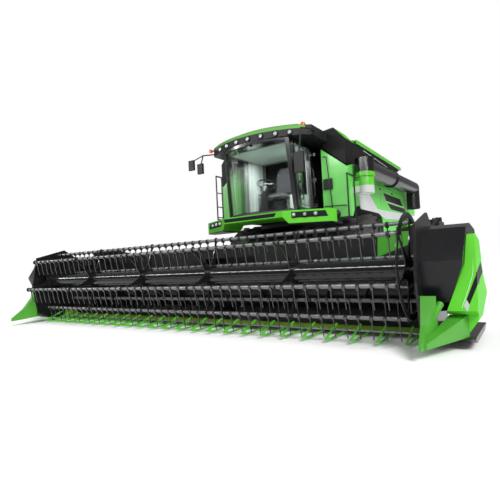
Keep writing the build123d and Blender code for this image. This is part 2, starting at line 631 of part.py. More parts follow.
tube_dir = Vector(0, spout_end_y - spout_y, spout_rise).normalized()


def on_tube(along):
    return tuple(Vector(spout_x, spout_y, spout_z) + tube_dir * along)


tube_len = hypot(spout_end_y - spout_y, spout_rise)
joint_at = spout_joint_y - spout_y
mouth_z, mouth_wall, mouth_hollow = arch_z + 240, 14, 260
with BuildPart() as unload:
    rod(on_tube(0), on_tube(tube_len), spout_r)
    with Locations((spout_x, spout_y, spout_z + 5)):
        Cylinder(collar_r, collar_h)
    rod(on_tube(joint_at), on_tube(joint_at + 30), spout_r + 35)
    with Locations(on_tube(tube_len)):
        Sphere(spout_r + 1)
    rod(on_tube(tube_len), (spout_x, spout_end_y, mouth_z), spout_r - 1)
    rod((spout_x, spout_end_y, mouth_z + mouth_hollow), (spout_x, spout_end_y, mouth_z - 10),
        spout_r - mouth_wall, mode=Mode.SUBTRACT)
save(unload, "unload_auger")

# Feeder house: a sloping duct with side trunnions and the lugs for the lift rods
feeder_front = header_back_y + 25
feeder_rear = feeder_y - 100
feeder_top = [(feeder_rear, feeder_z + feeder_h / 2), (feeder_front, 1130)]
feeder_low = [(feeder_rear, feeder_z - feeder_h / 2), (feeder_front, mouth_z0 - 4)]


def on_line(ends, y, lift=0):
    (y0, z0), (y1, z1) = ends
    return y, z0 + (z1 - z0) * (y - y0) / (y1 - y0) + lift


duct_wall, break_y, flange_y = 25, header_back_y + 340, header_back_y - 70
lug_line = [(70, -70), (120, 190), (-180, 50), (-70, -70)]
with BuildPart() as feeder:
    slab_x(-feeder_half, feeder_half, [feeder_top[0], feeder_top[1], feeder_low[1], feeder_low[0]])
    for y0, y1 in ((feeder_rear - 25, break_y + 10), (break_y - 20, flange_y)):
        slab_x(duct_wall - feeder_half, feeder_half - duct_wall,
               [on_line(feeder_top, y0, -duct_wall), on_line(feeder_top, y1, -duct_wall),
                on_line(feeder_low, y1, duct_wall), on_line(feeder_low, y0, duct_wall)], mode=Mode.SUBTRACT)
    for side in (-1, 1):
        x0, x1 = span(side, feeder_half - duct_wall, feeder_half)
        slab_x(x0, x1, shifted([(-100, -100), (-100, 100), (50, 60), (50, -60)], feeder_y, feeder_z))
        round_x(side * (feeder_half - 20), side * (bracket_x + 25), feeder_y, feeder_z, 45)
        for near, far in ((lift_x - 62, lift_x - 38), (feeder_half, feeder_half + 30)):
            x0, x1 = span(side, near, far)
            slab_x(x0, x1, shifted(lug_line, *lift_head))
            round_x(x0 - 1, x1 + 1, *lift_head, 25 + eye_gap, mode=Mode.SUBTRACT)
save(feeder, "feeder_house")

lift_dy, lift_dz = lift_head[0] - lift_base[0], lift_head[1] - lift_base[1]
lift_len = hypot(lift_dy, lift_dz)


def on_lift(x, along):
    return x, lift_base[0] + along * lift_dy / lift_len, lift_base[1] + along * lift_dz / lift_len


barrel_end = lift_len * 0.57
with BuildPart() as barrels:
    for side in (-1, 1):
        x = side * lift_x
        round_x(x - 32, x + 32, *lift_base, barrel_r)
        rod(on_lift(x, 40), on_lift(x, barrel_end), barrel_r)
        rod(on_lift(x, 100), on_lift(x, barrel_end + 50), ram_r + run_gap, mode=Mode.SUBTRACT)
        round_x(side * (rail_x1 - 45), side * (lift_x + 40), *lift_base, 30)
save(barrels, "lift_barrels")

with BuildPart() as rams:
    for side in (-1, 1):
        x = side * lift_x
        rod(on_lift(x, lift_len * 0.35), on_lift(x, lift_len - 40), ram_r)
        round_x(x - 25, x + 25, *lift_head, 55)
        round_x(side * (lift_x - 70), side * (lift_x + 70), *lift_head, 25)
save(rams, "lift_rods")

# Header frame: trough, back wall with the feeder mouth, end plates and reel-arm brackets
ear_in, ear_out = reel_half - 10, cut_half - 20
end_outline = [
    (knife_y - 780, 700), (knife_y - 680, 1290), (knife_y - 80, 1450), (knife_y + 240, 1250),
    (header_back_y - 20, beam_z + 100), (header_back_y, mouth_z0 - 35), (header_back_y - 180, 120),
    (header_back_y - 480, 60), (knife_y - 300, 60), (knife_y - 680, 200),
]
floor_line = [
    (header_back_y, beam_z), (header_back_y, 420), (header_back_y - 110, 240), (header_back_y - 300, 165),
    (header_back_y - 530, 130), (knife_y, knife_z), (knife_y, knife_z - 22), (header_back_y - 530, 105),
    (header_back_y - 290, 138), (header_back_y - 95, 212), (header_back_y + 25, 410),
    (header_back_y + 25, beam_z),
]
end_gusset = [(0, beam_z + beam_h), (0, beam_z + 260), (-60, beam_z + 260), (-620, beam_z + beam_h)]
with BuildPart() as header:
    slab_x(-cut_half, cut_half, floor_line)
    box(-cut_half, cut_half, header_back_y, header_back_y + 130, beam_z, beam_z + beam_h)
    box(-cut_half, cut_half, header_back_y - 70, header_back_y + 120, mouth_z0 - 85, mouth_z0 - 5)
    box(-mouth_half, mouth_half, header_back_y - 80, header_back_y + 160, mouth_z0, mouth_z1,
        mode=Mode.SUBTRACT)
    for side in (-1, 1):
        x0, x1 = span(side, cut_half, end_x)
        slab_x(x0, x1, end_outline)
        gusset = [(side * (reel_half - 30 + x), z) for x, z in end_gusset]
        slab_y(header_back_y + 100, header_back_y + 125, gusset)
        for x in (ear_in, ear_out):
            x0, x1 = span(side, x, x + 14)
            slab_x(x0, x1, [(arm_y, beam_z + beam_h), (arm_y + 95, beam_z + beam_h),
                            (arm_y + 50, arm_z + 50), (arm_y - 50, arm_z + 50)])
            round_x(x0 - 1, x1 + 1, arm_y, arm_z, arm_pin_r + run_gap, mode=Mode.SUBTRACT)
save(header, "header_frame")

finger_count = int(2 * cut_half / finger_pitch)
finger_xs = [finger_pitch * (k - (finger_count - 1) / 2) for k in range(finger_count)]
finger_form = [(-16, knife_y - 30), (16, knife_y - 30), (12, knife_y - 85), (0, knife_y - 110),
               (-12, knife_y - 85)]
with BuildPart() as knife:
    box(-cut_half, cut_half, knife_y - 32, knife_y, knife_z - 22, knife_z)
    with BuildSketch(Plane.XY.offset(knife_z - 18)) as fingers:
        with Locations(*[(x, 0) for x in finger_xs]):
            with BuildLine():
                Polyline(*finger_form, close=True)
            make_face()
    extrude(fingers.sketch, amount=16)
save(knife, "knife_bar")

lifter_count = int(2 * cut_half / lifter_pitch)
lifter_xs = [lifter_pitch * (k - (lifter_count - 1) / 2) for k in range(lifter_count)]
lifter_form = [(-5, -22), (-5, -45), (-500, -57), (-620, -35), (-660, -13), (-600, -1), (-280, 115),
               (-260, 101), (-550, -13), (-480, -35), (-34, -22)]
with BuildPart() as lifters:
    with BuildSketch(*[Plane.YZ.offset(x - 9) for x in lifter_xs]):
        with BuildLine():
            Polyline(*shifted(lifter_form, knife_y, knife_z), close=True)
        make_face()
    extrude(amount=18)
save(lifters, "crop_lifters")

# Intake auger: left- and right-hand flights on one tube, with fingers between them
finger_zone, turn_step = 600, 30
flight_sides = [(1, finger_zone + 20, cut_half - 60), (-1, finger_zone + 20, cut_half - 60)]
with BuildPart() as intake:
    round_x(30 - cut_half, cut_half - 30, auger_y, auger_z, auger_tube_r)
    round_x(0.5 - cut_half, cut_half - 0.5, auger_y, auger_z, 40)
    spots = []
    for k in range(12):
        turn = radians(150 * k)
        outward = Vector(0, sin(turn), cos(turn))
        middle = Vector(-550 + 100 * k, auger_y, auger_z) + outward * (auger_tube_r + 65)
        spots.append(Plane(origin=middle, x_dir=(1, 0, 0), z_dir=outward).location)
    with Locations(*spots):
        Box(14, 14, 150)
    for side, near, far in flight_sides:
        sections = []
        for k in range(int((far - near) / flight_pitch * 360 / turn_step) + 1):
            turn = radians(turn_step * k)
            outward = Vector(0, side * sin(turn), cos(turn))
            at = Vector(side * (near + flight_pitch * turn_step * k / 360), auger_y, auger_z)
            middle = at + outward * (auger_r + auger_tube_r - 10) / 2
            across = Plane(origin=middle, x_dir=(1, 0, 0), z_dir=outward.cross(Vector(1, 0, 0)))
            with BuildSketch(across) as blade:
                Rectangle(flight_t, auger_r - auger_tube_r + 10)
            sections.append(blade.sketch.face())
        loft(sections, ruled=True)
save(intake, "intake_auger")

# Ends of the header: green noses and covers, black guards and skids
nose_y0 = knife_y - 690
with BuildPart() as noses:
    for side in (-1, 1):
        wedge_y((nose_y0, side * (end_x + seat_gap), side * (end_x + 150), 130, 560),
                (nose_tip_y + 220, side * (end_x + 40), side * (end_x + 95), 105, 300),
                (nose_tip_y, side * (end_x + 60), side * (end_x + 85), 95, 145))
        wedge_y((knife_y - 440, side * (end_x + 225), side * (end_x + 395), 130, 350),
                (nose_tip_y + 110, side * (end_x + 62), side * (end_x + 110), 96, 150))
        rod((side * (end_x + 100), nose_y0 - 60, 330), (side * (end_x + 165), knife_y - 570, 470), 36)
save(noses, "divider_noses")

cover_side = [(knife_y - 460, 1150), (knife_y - 290, 1165), (knife_y - 70, 1100), (knife_y + 110, 730),
              (knife_y + 430, 510), (knife_y - 60, 290), (knife_y - 439, 130), (knife_y - 439, 350),
              (knife_y - 560, 400)]
cover_front = [(425, 1170), (485, 1170), (498, 1100), (500, 500), (485, 300), (405, 180), (345, 130),
               (325, 130), (305, 340), (205, 360), (395, 860)]
with BuildPart() as covers:
    for side in (-1, 1):
        slab_x(*span(side, end_x + 150, end_x + end_w), cover_side)
    with BuildPart(mode=Mode.PRIVATE) as front_form:
        for side in (-1, 1):
            slab_y(knife_y - 800, knife_y + 600, [(side * (end_x + x), z) for x, z in cover_front])
    add(front_form.part, mode=Mode.INTERSECT)
save(covers, "end_covers")

guard_side = [(knife_y - 520, 480), (knife_y - 640, 900), (knife_y - 420, 1235), (knife_y - 100, 1290),
              (knife_y + 350, 1240), (header_back_y - 300, 900), (header_back_y - 300, 420),
              (knife_y - 100, 330)]
guard_front = [(0, 330), (0, 1300), (420, 1300), (420, 1168), (393, 855), (203, 358)]
with BuildPart() as guards:
    for side in (-1, 1):
        slab_x(*span(side, end_x, end_x + 424), guard_side)
    with BuildPart(mode=Mode.PRIVATE) as guard_form:
        for side in (-1, 1):
            slab_y(knife_y - 800, header_back_y, [(side * (end_x + x), z) for x, z in guard_front])
    add(guard_form.part, mode=Mode.INTERSECT)
    for side in (-1, 1):
        slab_x(*span(side, end_x, end_x + 455),
               [(knife_y - 500, 116), (knife_y - 400, 70), (knife_y + 400, 70), (knife_y + 600, 112),
                (knife_y + 600, 129.7), (knife_y - 430, 129.7), (knife_y - 500, 122)])
save(guards, "end_guards")


# Reel: six-armed spiders on a tube, and bats kept upright by cranks on an eccentric ring
def bat_at(index, extra_y=0, extra_z=0):
    turn = radians(first_bat + 360 / bat_count * index)
    return reel_y - reel_r * sin(turn) + extra_y, reel_z + reel_r * cos(turn) + extra_z


spider_end = reel_half - 30
spider_xs = [spider_end * (2 * k / (spider_count - 1) - 1) for k in range(spider_count)]
arm_root, arm_tip, boss_r = 78, 26, 40
with BuildPart() as core:
    round_x(20 - reel_half, reel_half - 20, reel_y, reel_z, reel_tube_r)
    round_x(-reel_half - 85, reel_half + 85, reel_y, reel_z, stub_r)
    with BuildSketch(*[Plane.YZ.offset(x - 6) for x in spider_xs]):
        with Locations((reel_y, reel_z)):
            Circle(reel_tube_r + 45)
        for k in range(bat_count):
            by, bz = bat_at(k)
            ey, ez = (by - reel_y) / reel_r, (bz - reel_z) / reel_r

            def on_arm(along, across):
                return reel_y + along * ey - across * ez, reel_z + along * ez + across * ey

            with BuildLine():
                ThreePointArc(on_arm(110, arm_root), on_arm(250, arm_tip + 6), on_arm(reel_r, arm_tip))
                Line(on_arm(reel_r, arm_tip), on_arm(reel_r, -arm_tip))
                ThreePointArc(on_arm(reel_r, -arm_tip), on_arm(250, -arm_tip - 6), on_arm(110, -arm_root))
                Line(on_arm(110, -arm_root), on_arm(110, arm_root))
            make_face()
            with Locations((by, bz)):
                Circle(boss_r)
        for k in range(bat_count):
            with Locations(bat_at(k)):
                Circle(bat_r + run_gap, mode=Mode.SUBTRACT)
    extrude(amount=12)
save(core, "reel_core")

tine_count = int(2 * cut_half / tine_pitch)
tine_xs = [tine_pitch * (k - (tine_count - 1) / 2) for k in range(tine_count)]
tine_xs = [x for x in tine_xs if abs(x) < reel_half - 30 and min(abs(x - s) for s in spider_xs) > 30]
tine_form = [(-9, -10), (9, -10), (12, -90), (24, -170), (42, -tine_len), (36, -tine_len), (12, -170),
             (-1, -90)]
clip_form = [(-29, 8), (-10, 28), (14, 28), (29, 8), (29, -22), (12, -44), (-12, -44), (-29, -22)]
crank_form = [(-16, -18), (-16, 16), (ring_dy - 14, ring_dz + 16), (ring_dy - 14, ring_dz - 18)]
with BuildPart() as bat_form:
    round_x(-reel_half, reel_half, 0, 0, bat_r)
    for form, width in ((tine_form, tine_w), (clip_form, 30)):
        with BuildSketch(*[Plane.YZ.offset(x - width / 2) for x in tine_xs]) as repeats:
            with BuildLine():
                Polyline(*form, close=True)
            make_face()
        extrude(repeats.sketch, amount=width)
    slab_x(reel_half - 12, reel_half, crank_form)
    round_x(reel_half - 12, reel_half + 14, ring_dy, ring_dz, crank_r)
for k in range(bat_count):
    with BuildPart() as bat:
        with Locations((0, *bat_at(k))):
            add(bat_form.part)
    save(bat, f"reel_bat_{k + 1}")

with BuildPart() as ring:
    with BuildSketch(Plane.YZ.offset(reel_half + 4)):
        with Locations((reel_y + ring_dy, reel_z + ring_dz)):
            Circle(reel_r + ring_w)
            Circle(reel_r - ring_w, mode=Mode.SUBTRACT)
        for k in range(bat_count):
            with Locations(bat_at(k, ring_dy, ring_dz)):
                Circle(crank_r + run_gap, mode=Mode.SUBTRACT)
    extrude(amount=10)
save(ring, "reel_ring")

arm_in, arm_out = reel_half + 30, reel_half + 70
arm_outline = [(arm_y + 30, arm_z - 40), (arm_y + 30, arm_z + 45), (arm_y - 60, arm_z + 50),
               (reel_y + 40, reel_z + 90), (reel_y - 60, reel_z + 60), (reel_y - 60, reel_z - 60),
               (reel_y + 60, reel_z - 50)]
with BuildPart() as arms:
    for side in (-1, 1):
        slab_x(*span(side, arm_in, arm_out), arm_outline)
        round_x(side * (ear_in - 4), side * (cut_half - 2), arm_y, arm_z, arm_pin_r)
        round_x(side * (arm_in - 5), side * (arm_out + 5), reel_y, reel_z, stub_r + run_gap,
                mode=Mode.SUBTRACT)
save(arms, "reel_arms")
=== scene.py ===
import bmesh
import bpy
import numpy as np
from math import cos, hypot, pi, radians, sin
from mathutils import Matrix, Vector


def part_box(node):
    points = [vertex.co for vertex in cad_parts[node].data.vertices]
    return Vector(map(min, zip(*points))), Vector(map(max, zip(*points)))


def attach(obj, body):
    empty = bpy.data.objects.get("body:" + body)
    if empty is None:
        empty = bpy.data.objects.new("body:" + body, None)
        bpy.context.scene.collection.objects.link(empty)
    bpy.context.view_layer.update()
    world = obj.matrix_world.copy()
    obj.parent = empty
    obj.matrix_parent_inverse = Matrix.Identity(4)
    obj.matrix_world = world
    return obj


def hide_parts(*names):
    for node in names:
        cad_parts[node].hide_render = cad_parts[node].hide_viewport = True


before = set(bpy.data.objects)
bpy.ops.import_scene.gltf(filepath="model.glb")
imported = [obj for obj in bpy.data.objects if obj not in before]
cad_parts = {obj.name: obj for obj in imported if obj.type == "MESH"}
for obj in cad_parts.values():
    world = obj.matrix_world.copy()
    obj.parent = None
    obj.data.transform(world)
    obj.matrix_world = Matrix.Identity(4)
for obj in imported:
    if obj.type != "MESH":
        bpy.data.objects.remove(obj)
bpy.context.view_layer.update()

print("frame loaded")

# camera: angles in degrees, azimuth 0 looks at the machine's front
cameraLook = {"place": (4.57, -9.145, 0.96), "azimuth": 34.35, "elevation": -2.0, "roll": -2.81,
              "focalPixels": 410, "imagePixels": 500, "sensorWidth": 36.0, "clip": (0.05, 400)}


def makeCamera(look):
    azimuth, elevation, roll = (radians(look[key]) for key in ("azimuth", "elevation", "roll"))
    back = Vector((sin(azimuth) * cos(elevation), -cos(azimuth) * cos(elevation), sin(elevation)))
    right = (-back).cross(Vector((0, 0, 1))).normalized()
    up = right.cross(-back).normalized()
    rolledRight = right * cos(roll) + up * sin(roll)
    rolledUp = up * cos(roll) - right * sin(roll)
    data = bpy.data.cameras.new("viewCamera")
    data.sensor_width = look["sensorWidth"]
    data.lens = look["sensorWidth"] * look["focalPixels"] / look["imagePixels"]
    data.clip_start, data.clip_end = look["clip"]
    camera = bpy.data.objects.new("viewCamera", data)
    bpy.context.scene.collection.objects.link(camera)
    turn = Matrix((rolledRight, rolledUp, back)).transposed()
    camera.matrix_world = Matrix.Translation(look["place"]) @ turn.to_4x4()
    bpy.context.scene.camera = camera


makeCamera(cameraLook)
bpy.context.scene.view_settings.view_transform = "Standard"


# shader helpers: a value is a number, a colour or another node's socket
def feed(tree, value, socket):
    if isinstance(value, bpy.types.NodeSocket):
        tree.links.new(value, socket)
    else:
        socket.default_value = value


def addNode(tree, kind, inputs=None, **settings):
    node = tree.nodes.new(kind)
    for key, value in settings.items():
        setattr(node, key, value)
    for key, value in (inputs or {}).items():
        feed(tree, value, node.inputs[key])
    return node


def doMath(tree, operation, first, second=0.0, clamp=False):
    node = addNode(tree, "ShaderNodeMath", {0: first, 1: second}, operation=operation, use_clamp=clamp)
    return node.outputs[0]


def ramp(tree, value, fromLow, fromHigh, toLow=0.0, toHigh=1.0):
    node = addNode(tree, "ShaderNodeMapRange", {"Value": value, "From Min": fromLow, "From Max": fromHigh,
                                                "To Min": toLow, "To Max": toHigh}, clamp=True)
    return node.outputs["Result"]


def mixColour(tree, share, first, second):
    # the node's colour sockets are inputs 6 and 7 and output 2
    node = addNode(tree, "ShaderNodeMix", {"Factor": share, 6: first, 7: second}, data_type="RGBA")
    return node.outputs[2]


def noise(tree, place, scale, detail, roughness):
    return addNode(tree, "ShaderNodeTexNoise", {"Vector": place, "Scale": scale, "Detail": detail,
                                                "Roughness": roughness}).outputs["Fac"]


def addBump(tree, shader, height, strength, depth, under=None):
    inputs = {"Height": height, "Strength": strength, "Distance": depth}
    if under is not None:
        inputs["Normal"] = under
    feed(tree, addNode(tree, "ShaderNodeBump", inputs).outputs["Normal"], shader.inputs["Normal"])


def startGroup(name, inputs, outputs):
    # labels of vector sockets are Place and Rounded, all the others are numbers
    group = bpy.data.node_groups.new(name, "ShaderNodeTree")
    for way, labels in (("INPUT", inputs), ("OUTPUT", outputs)):
        for label in labels:
            kind = "NodeSocketVector" if label in ("Place", "Rounded") else "NodeSocketFloat"
            group.interface.new_socket(label, in_out=way, socket_type=kind)
    return group, group.nodes.new("NodeGroupInput").outputs, group.nodes.new("NodeGroupOutput").inputs


# noises are scale, detail and roughness; a range is the part of the noise that is spread from 0 to 1
dustLook = {"upwardFrom": 0.55, "upwardShare": 0.35, "cloud": (1.7, 6.0, 0.62), "cloudRange": (0.38, 0.72),
            "speck": (38.0, 3.0, 0.7), "speckRange": (0.45, 0.75), "speckShares": (0.35, 1.0)}


def makeFieldDust(look):
    # dust lies low on the machine, thins out with height and gathers where a face looks up
    group, given, out = startGroup("fieldDust", ["Place", "Amount", "Reach"], ["Mask"])
    height = addNode(group, "ShaderNodeSeparateXYZ", {0: given["Place"]}).outputs["Z"]
    low = doMath(group, "SUBTRACT", 1.0, doMath(group, "DIVIDE", height, given["Reach"]), clamp=True)
    normal = addNode(group, "ShaderNodeTexCoord").outputs["Normal"]
    facing = addNode(group, "ShaderNodeSeparateXYZ", {0: normal}).outputs["Z"]
    upward = ramp(group, facing, look["upwardFrom"], 1.0, 0.0, look["upwardShare"])
    cloud = ramp(group, noise(group, given["Place"], *look["cloud"]), *look["cloudRange"])
    specks = noise(group, given["Place"], *look["speck"])
    speck = ramp(group, specks, *look["speckRange"], *look["speckShares"])
    lying = doMath(group, "MULTIPLY", doMath(group, "ADD", low, upward), cloud)
    both = doMath(group, "MULTIPLY", lying, speck)
    feed(group, doMath(group, "MULTIPLY", both, given["Amount"], clamp=True), out["Mask"])
    return group


wearLook = {"edgeRange": (0.9, 0.995), "chips": (22.0, 5.0, 0.7), "chipRange": (0.5, 0.62), "samples": 4}


def makeEdgeWear(look):
    # a bevelled normal leaves the true one near an edge, and noise breaks that band into chips
    group, given, out = startGroup("edgeWear", ["Place", "Width", "Amount"], ["Mask", "Rounded"])
    bevel = addNode(group, "ShaderNodeBevel", {"Radius": given["Width"]}, samples=look["samples"])
    rounded = bevel.outputs["Normal"]
    flat = addNode(group, "ShaderNodeNewGeometry").outputs["True Normal"]
    agree = addNode(group, "ShaderNodeVectorMath", {0: rounded, 1: flat}, operation="DOT_PRODUCT")
    edge = ramp(group, agree.outputs["Value"], *look["edgeRange"], 1.0, 0.0)
    chips = ramp(group, noise(group, given["Place"], *look["chips"]), *look["chipRange"])
    worn = doMath(group, "MULTIPLY", edge, chips)
    feed(group, doMath(group, "MULTIPLY", worn, given["Amount"], clamp=True), out["Mask"])
    feed(group, rounded, out["Rounded"])
    return group


grainLook = {"fine": (3.0, 0.6), "broad": (2.3, 4.0, 0.5), "variationRange": (0.3, 0.7)}


def makeFineGrain(look):
    # two sizes of noise, as sprayed paint or moulded plastic has: the softness is the broad one's share
    group, given, out = startGroup("fineGrain", ["Place", "Scale", "Softness"], ["Height", "Variation"])
    fine = noise(group, given["Place"], given["Scale"], *look["fine"])
    broad = noise(group, given["Place"], *look["broad"])
    sharp = doMath(group, "MULTIPLY", fine, doMath(group, "SUBTRACT", 1.0, given["Softness"]))
    soft = doMath(group, "MULTIPLY", broad, given["Softness"])
    feed(group, doMath(group, "ADD", sharp, soft), out["Height"])
    feed(group, ramp(group, broad, *look["variationRange"]), out["Variation"])
    return group


groups = {"dust": makeFieldDust(dustLook), "wear": makeEdgeWear(wearLook), "grain": makeFineGrain(grainLook)}
dustColour = (0.33, 0.27, 0.18, 1)


def useGroup(tree, name, inputs):
    node = tree.nodes.new("ShaderNodeGroup")
    node.node_tree = groups[name]
    for key, value in inputs.items():
        feed(tree, value, node.inputs[key])
    return node.outputs


def startMaterial(name):
    material = bpy.data.materials.new(name)
    material.use_nodes = True
    tree = material.node_tree
    place = addNode(tree, "ShaderNodeTexCoord").outputs["Object"]
    return material, tree, tree.nodes["Principled BSDF"], place


def polygonMask(tree, first, second, corners, soft=0.002):
    # a convex outline drawn anticlockwise: a place inside lies to the left of each of its edges
    mask = 1.0
    for (u0, v0), (u1, v1) in zip(corners, corners[1:] + corners[:1]):
        length = hypot(u1 - u0, v1 - v0)
        a, b = (v0 - v1) / length, (u1 - u0) / length
        beside = doMath(tree, "ADD", doMath(tree, "MULTIPLY", first, a), doMath(tree, "MULTIPLY", second, b))
        inside = ramp(tree, beside, a * u0 + b * v0 - soft, a * u0 + b * v0 + soft)
        mask = doMath(tree, "MULTIPLY", mask, inside)
    return mask


# what a finish doesn't name it takes from plainFinish: edge is the worn band's width, grain the grain's scale
plainFinish = {"metal": 0.0, "coat": 0.0, "coatRough": 0.12, "gloss": 0.4, "dust": 0.05, "dustReach": 2.2,
               "dustRough": 0.45, "wear": 0.06, "edge": 0.006, "bare": (0.3, 0.3, 0.3), "grain": 420.0,
               "softness": 0.25, "grainRough": 0.08, "bump": 0.03, "bumpDepth": 0.002}
finishes = {
    "greenPaint": {"colour": (0.10, 0.52, 0.022), "second": (0.08, 0.46, 0.018), "rough": 0.32, "coat": 0.4},
    "sideGreen": {"colour": (0.15, 0.64, 0.11), "second": (0.13, 0.58, 0.09), "rough": 0.34, "coat": 0.3},
    "noseGreen": {"colour": (0.065, 0.33, 0.025), "second": (0.055, 0.29, 0.02), "rough": 0.36, "coat": 0.2},
    "crestGreen": {"colour": (0.12, 0.34, 0.065), "second": (0.10, 0.31, 0.055), "rough": 0.34, "coat": 0.2,
                   "gloss": 0.3},
    # the pale green below is a painted highlight: the light caught along the end covers' crease, worn by the
    # beads
    "creaseHighlightGreen": {"colour": (0.42, 0.78, 0.38), "second": (0.38, 0.74, 0.34), "rough": 0.3, "coat": 0.3,
                  "dust": 0.03, "wear": 0.0},
    "coverGreen": {"colour": (0.125, 0.59, 0.04), "second": (0.11, 0.55, 0.034), "rough": 0.4, "gloss": 0.06,
                   "dust": 0.03, "wear": 0.04},
    "blackPaint": {"colour": (0.006, 0.0062, 0.007), "second": (0.009, 0.009, 0.010), "rough": 0.26,
                   "coat": 0.2, "gloss": 0.3, "dust": 0.04, "wear": 0.08, "grain": 360.0, "bump": 0.05},
    "mattBlack": {"colour": (0.006, 0.0062, 0.007), "second": (0.009, 0.009, 0.010), "rough": 0.4,
                  "gloss": 0.14, "dust": 0.04, "wear": 0.08, "grain": 360.0, "bump": 0.05},
    "guardBlack": {"colour": (0.006, 0.0062, 0.008), "second": (0.009, 0.009, 0.011), "rough": 0.2,
                   "gloss": 0.3, "dust": 0.04, "wear": 0.05, "grain": 360.0, "bump": 0.04},
    "tubeBlack": {"colour": (0.006, 0.006, 0.007), "second": (0.008, 0.008, 0.009), "rough": 0.08,
                  "coat": 0.1, "gloss": 0.42, "dust": 0.03, "wear": 0.05, "grain": 360.0, "bump": 0.01},
    "glossBlack": {"colour": (0.008, 0.008, 0.009), "second": (0.011, 0.011, 0.012), "rough": 0.14,
                   "coat": 1.0, "gloss": 0.45, "wear": 0.05, "grain": 300.0, "bump": 0.02},
    "framePaint": {"colour": (0.02, 0.021, 0.023), "second": (0.03, 0.031, 0.033), "rough": 0.45, "coat": 0.1,
                   "dust": 0.45, "wear": 0.3, "grain": 240.0, "bump": 0.1},
    "rimPaint": {"colour": (0.55, 0.56, 0.56), "second": (0.5, 0.5, 0.5), "rough": 0.35, "metal": 0.2,
                 "coat": 0.2, "gloss": 0.5, "dust": 0.4, "wear": 0.2, "grain": 300.0, "bump": 0.05},
    "bareSteel": {"colour": (0.5, 0.51, 0.53), "second": (0.36, 0.35, 0.34), "rough": 0.34, "metal": 1.0,
                  "gloss": 0.5, "dust": 0.15, "wear": 0.3, "edge": 0.003, "grain": 180.0, "bump": 0.08},
    "batGrey": {"colour": (0.15, 0.152, 0.16), "second": (0.11, 0.112, 0.12), "rough": 0.24, "metal": 0.1,
                "coat": 0.5, "gloss": 0.5, "wear": 0.1, "edge": 0.003, "grain": 300.0, "bump": 0.05},
    "silverTrim": {"colour": (0.68, 0.70, 0.70), "second": (0.62, 0.64, 0.64), "rough": 0.28, "metal": 0.1,
                   "coat": 0.4, "gloss": 0.5, "dust": 0.04, "wear": 0.0, "edge": 0.003, "grain": 400.0},
    "darkPlastic": {"colour": (0.011, 0.0115, 0.0125), "second": (0.017, 0.018, 0.019), "rough": 0.4,
                    "gloss": 0.22, "wear": 0.04, "grain": 700.0, "bump": 0.16},
    "greyPlastic": {"colour": (0.50, 0.58, 0.54), "second": (0.43, 0.50, 0.47), "rough": 0.5,
                    "wear": 0.02, "edge": 0.004, "grain": 700.0, "bump": 0.16},
    "mirrorGlass": {"colour": (0.85, 0.86, 0.87), "second": (0.8, 0.81, 0.82), "rough": 0.03, "metal": 1.0,
                    "gloss": 0.5, "dust": 0.02, "wear": 0.0, "edge": 0.001, "grain": 300.0, "bump": 0.0},
}
black, green, white = (0.013, 0.0135, 0.015, 1), (0.085, 0.46, 0.02, 1), (0.5, 0.52, 0.52, 1)
# the first colour on the next line is the header floor's green paint, darkened as painted shade
shadedFloorGreen, wallGreen, roofGreen = (0.19, 0.38, 0.02, 1), (0.06, 0.36, 0.02, 1), (0.12, 0.38, 0.06, 1)
# a painted node has a base finish and zones: colour, axes of the outline, outline, span on the third axis
paintedNodes = {
    "sidePaint": ("sideGreen", [  # lower and upper grille
        (black, "YZ", [(1.798, 2.218), (3.454, 2.218), (3.192, 2.352), (1.486, 2.352)]),
        (black, "YZ", [(1.408, 2.398), (3.054, 2.398), (2.762, 2.582), (1.187, 2.582)])]),
    "tankPaint": ("mattBlack", [  # rim ahead of the covers
        (green, "YZ", [(-1.19, 3.44), (-0.595, 3.44), (-0.595, 3.8), (-1.19, 3.8)])]),
    "roofPaint": ("darkPlastic", [
        (roofGreen, "XZ", [(-1.12, 3.55), (1.12, 3.55), (1.10, 3.65), (-1.10, 3.65)])]),  # roof's edge
    "headerPaint": ("blackPaint", [
        (shadedFloorGreen, "YZ", [(-4.2, 0.0), (-3.93, 0.0), (-3.93, 0.2), (-4.2, 0.2)]),  # strip behind the knife: the floor's green paint darkened to olive as painted shade
        # near end of the back wall
        (wallGreen, "XZ", [(2.712, 0.975), (3.175, 1.136), (3.186, 1.32), (2.733, 1.33)], (-3.2, -2.9))]),
    "turretPaint": ("greenPaint", [
        (white, "YZ", [(-1.4, 2.0), (-0.4, 2.0), (-0.4, 2.43), (-1.4, 2.47)])]),  # foot
    "augerPaint": ("blackPaint", [
        (green, "YZ", [(-1.4, 2.3), (-0.5, 2.3), (-0.5, 2.70), (-1.4, 2.76)])]),  # lower elbow
    "coverPaint": ("coverGreen", [  # stripe on the outer face, on the front face, and its white end
        (black, "YZ", [(-4.186, 0.865), (-4.645, 0.77), (-4.645, 0.647), (-4.028, 0.755)], (4.118, 4.13)),
        (black, "XZ", [(4.124, 0.77), (4.024, 0.513), (4.049, 0.463), (4.124, 0.647)], (-4.7, -4.4)),
        (white, "XZ", [(4.024, 0.513), (4.0, 0.451), (4.029, 0.391), (4.049, 0.463)], (-4.7, -4.4))]),
    "apronPaint": ("coverGreen", [
        (black, "XZ", [(-0.70, 1.853), (0.52, 1.853), (0.56, 1.928), (-0.73, 1.928)]),  # middle slot
        (black, "XZ", [(0.85, 1.80), (1.46, 1.80), (1.42, 1.918), (0.85, 1.918)]),  # lamp panels
        (black, "XZ", [(-1.46, 1.80), (-0.85, 1.80), (-0.85, 1.918), (-1.42, 1.918)]),
        (black, "XZ", [(-1.6, 1.6), (1.6, 1.6), (1.6, 1.705), (-1.6, 1.705)])]),  # lower edge
}
materials = {}


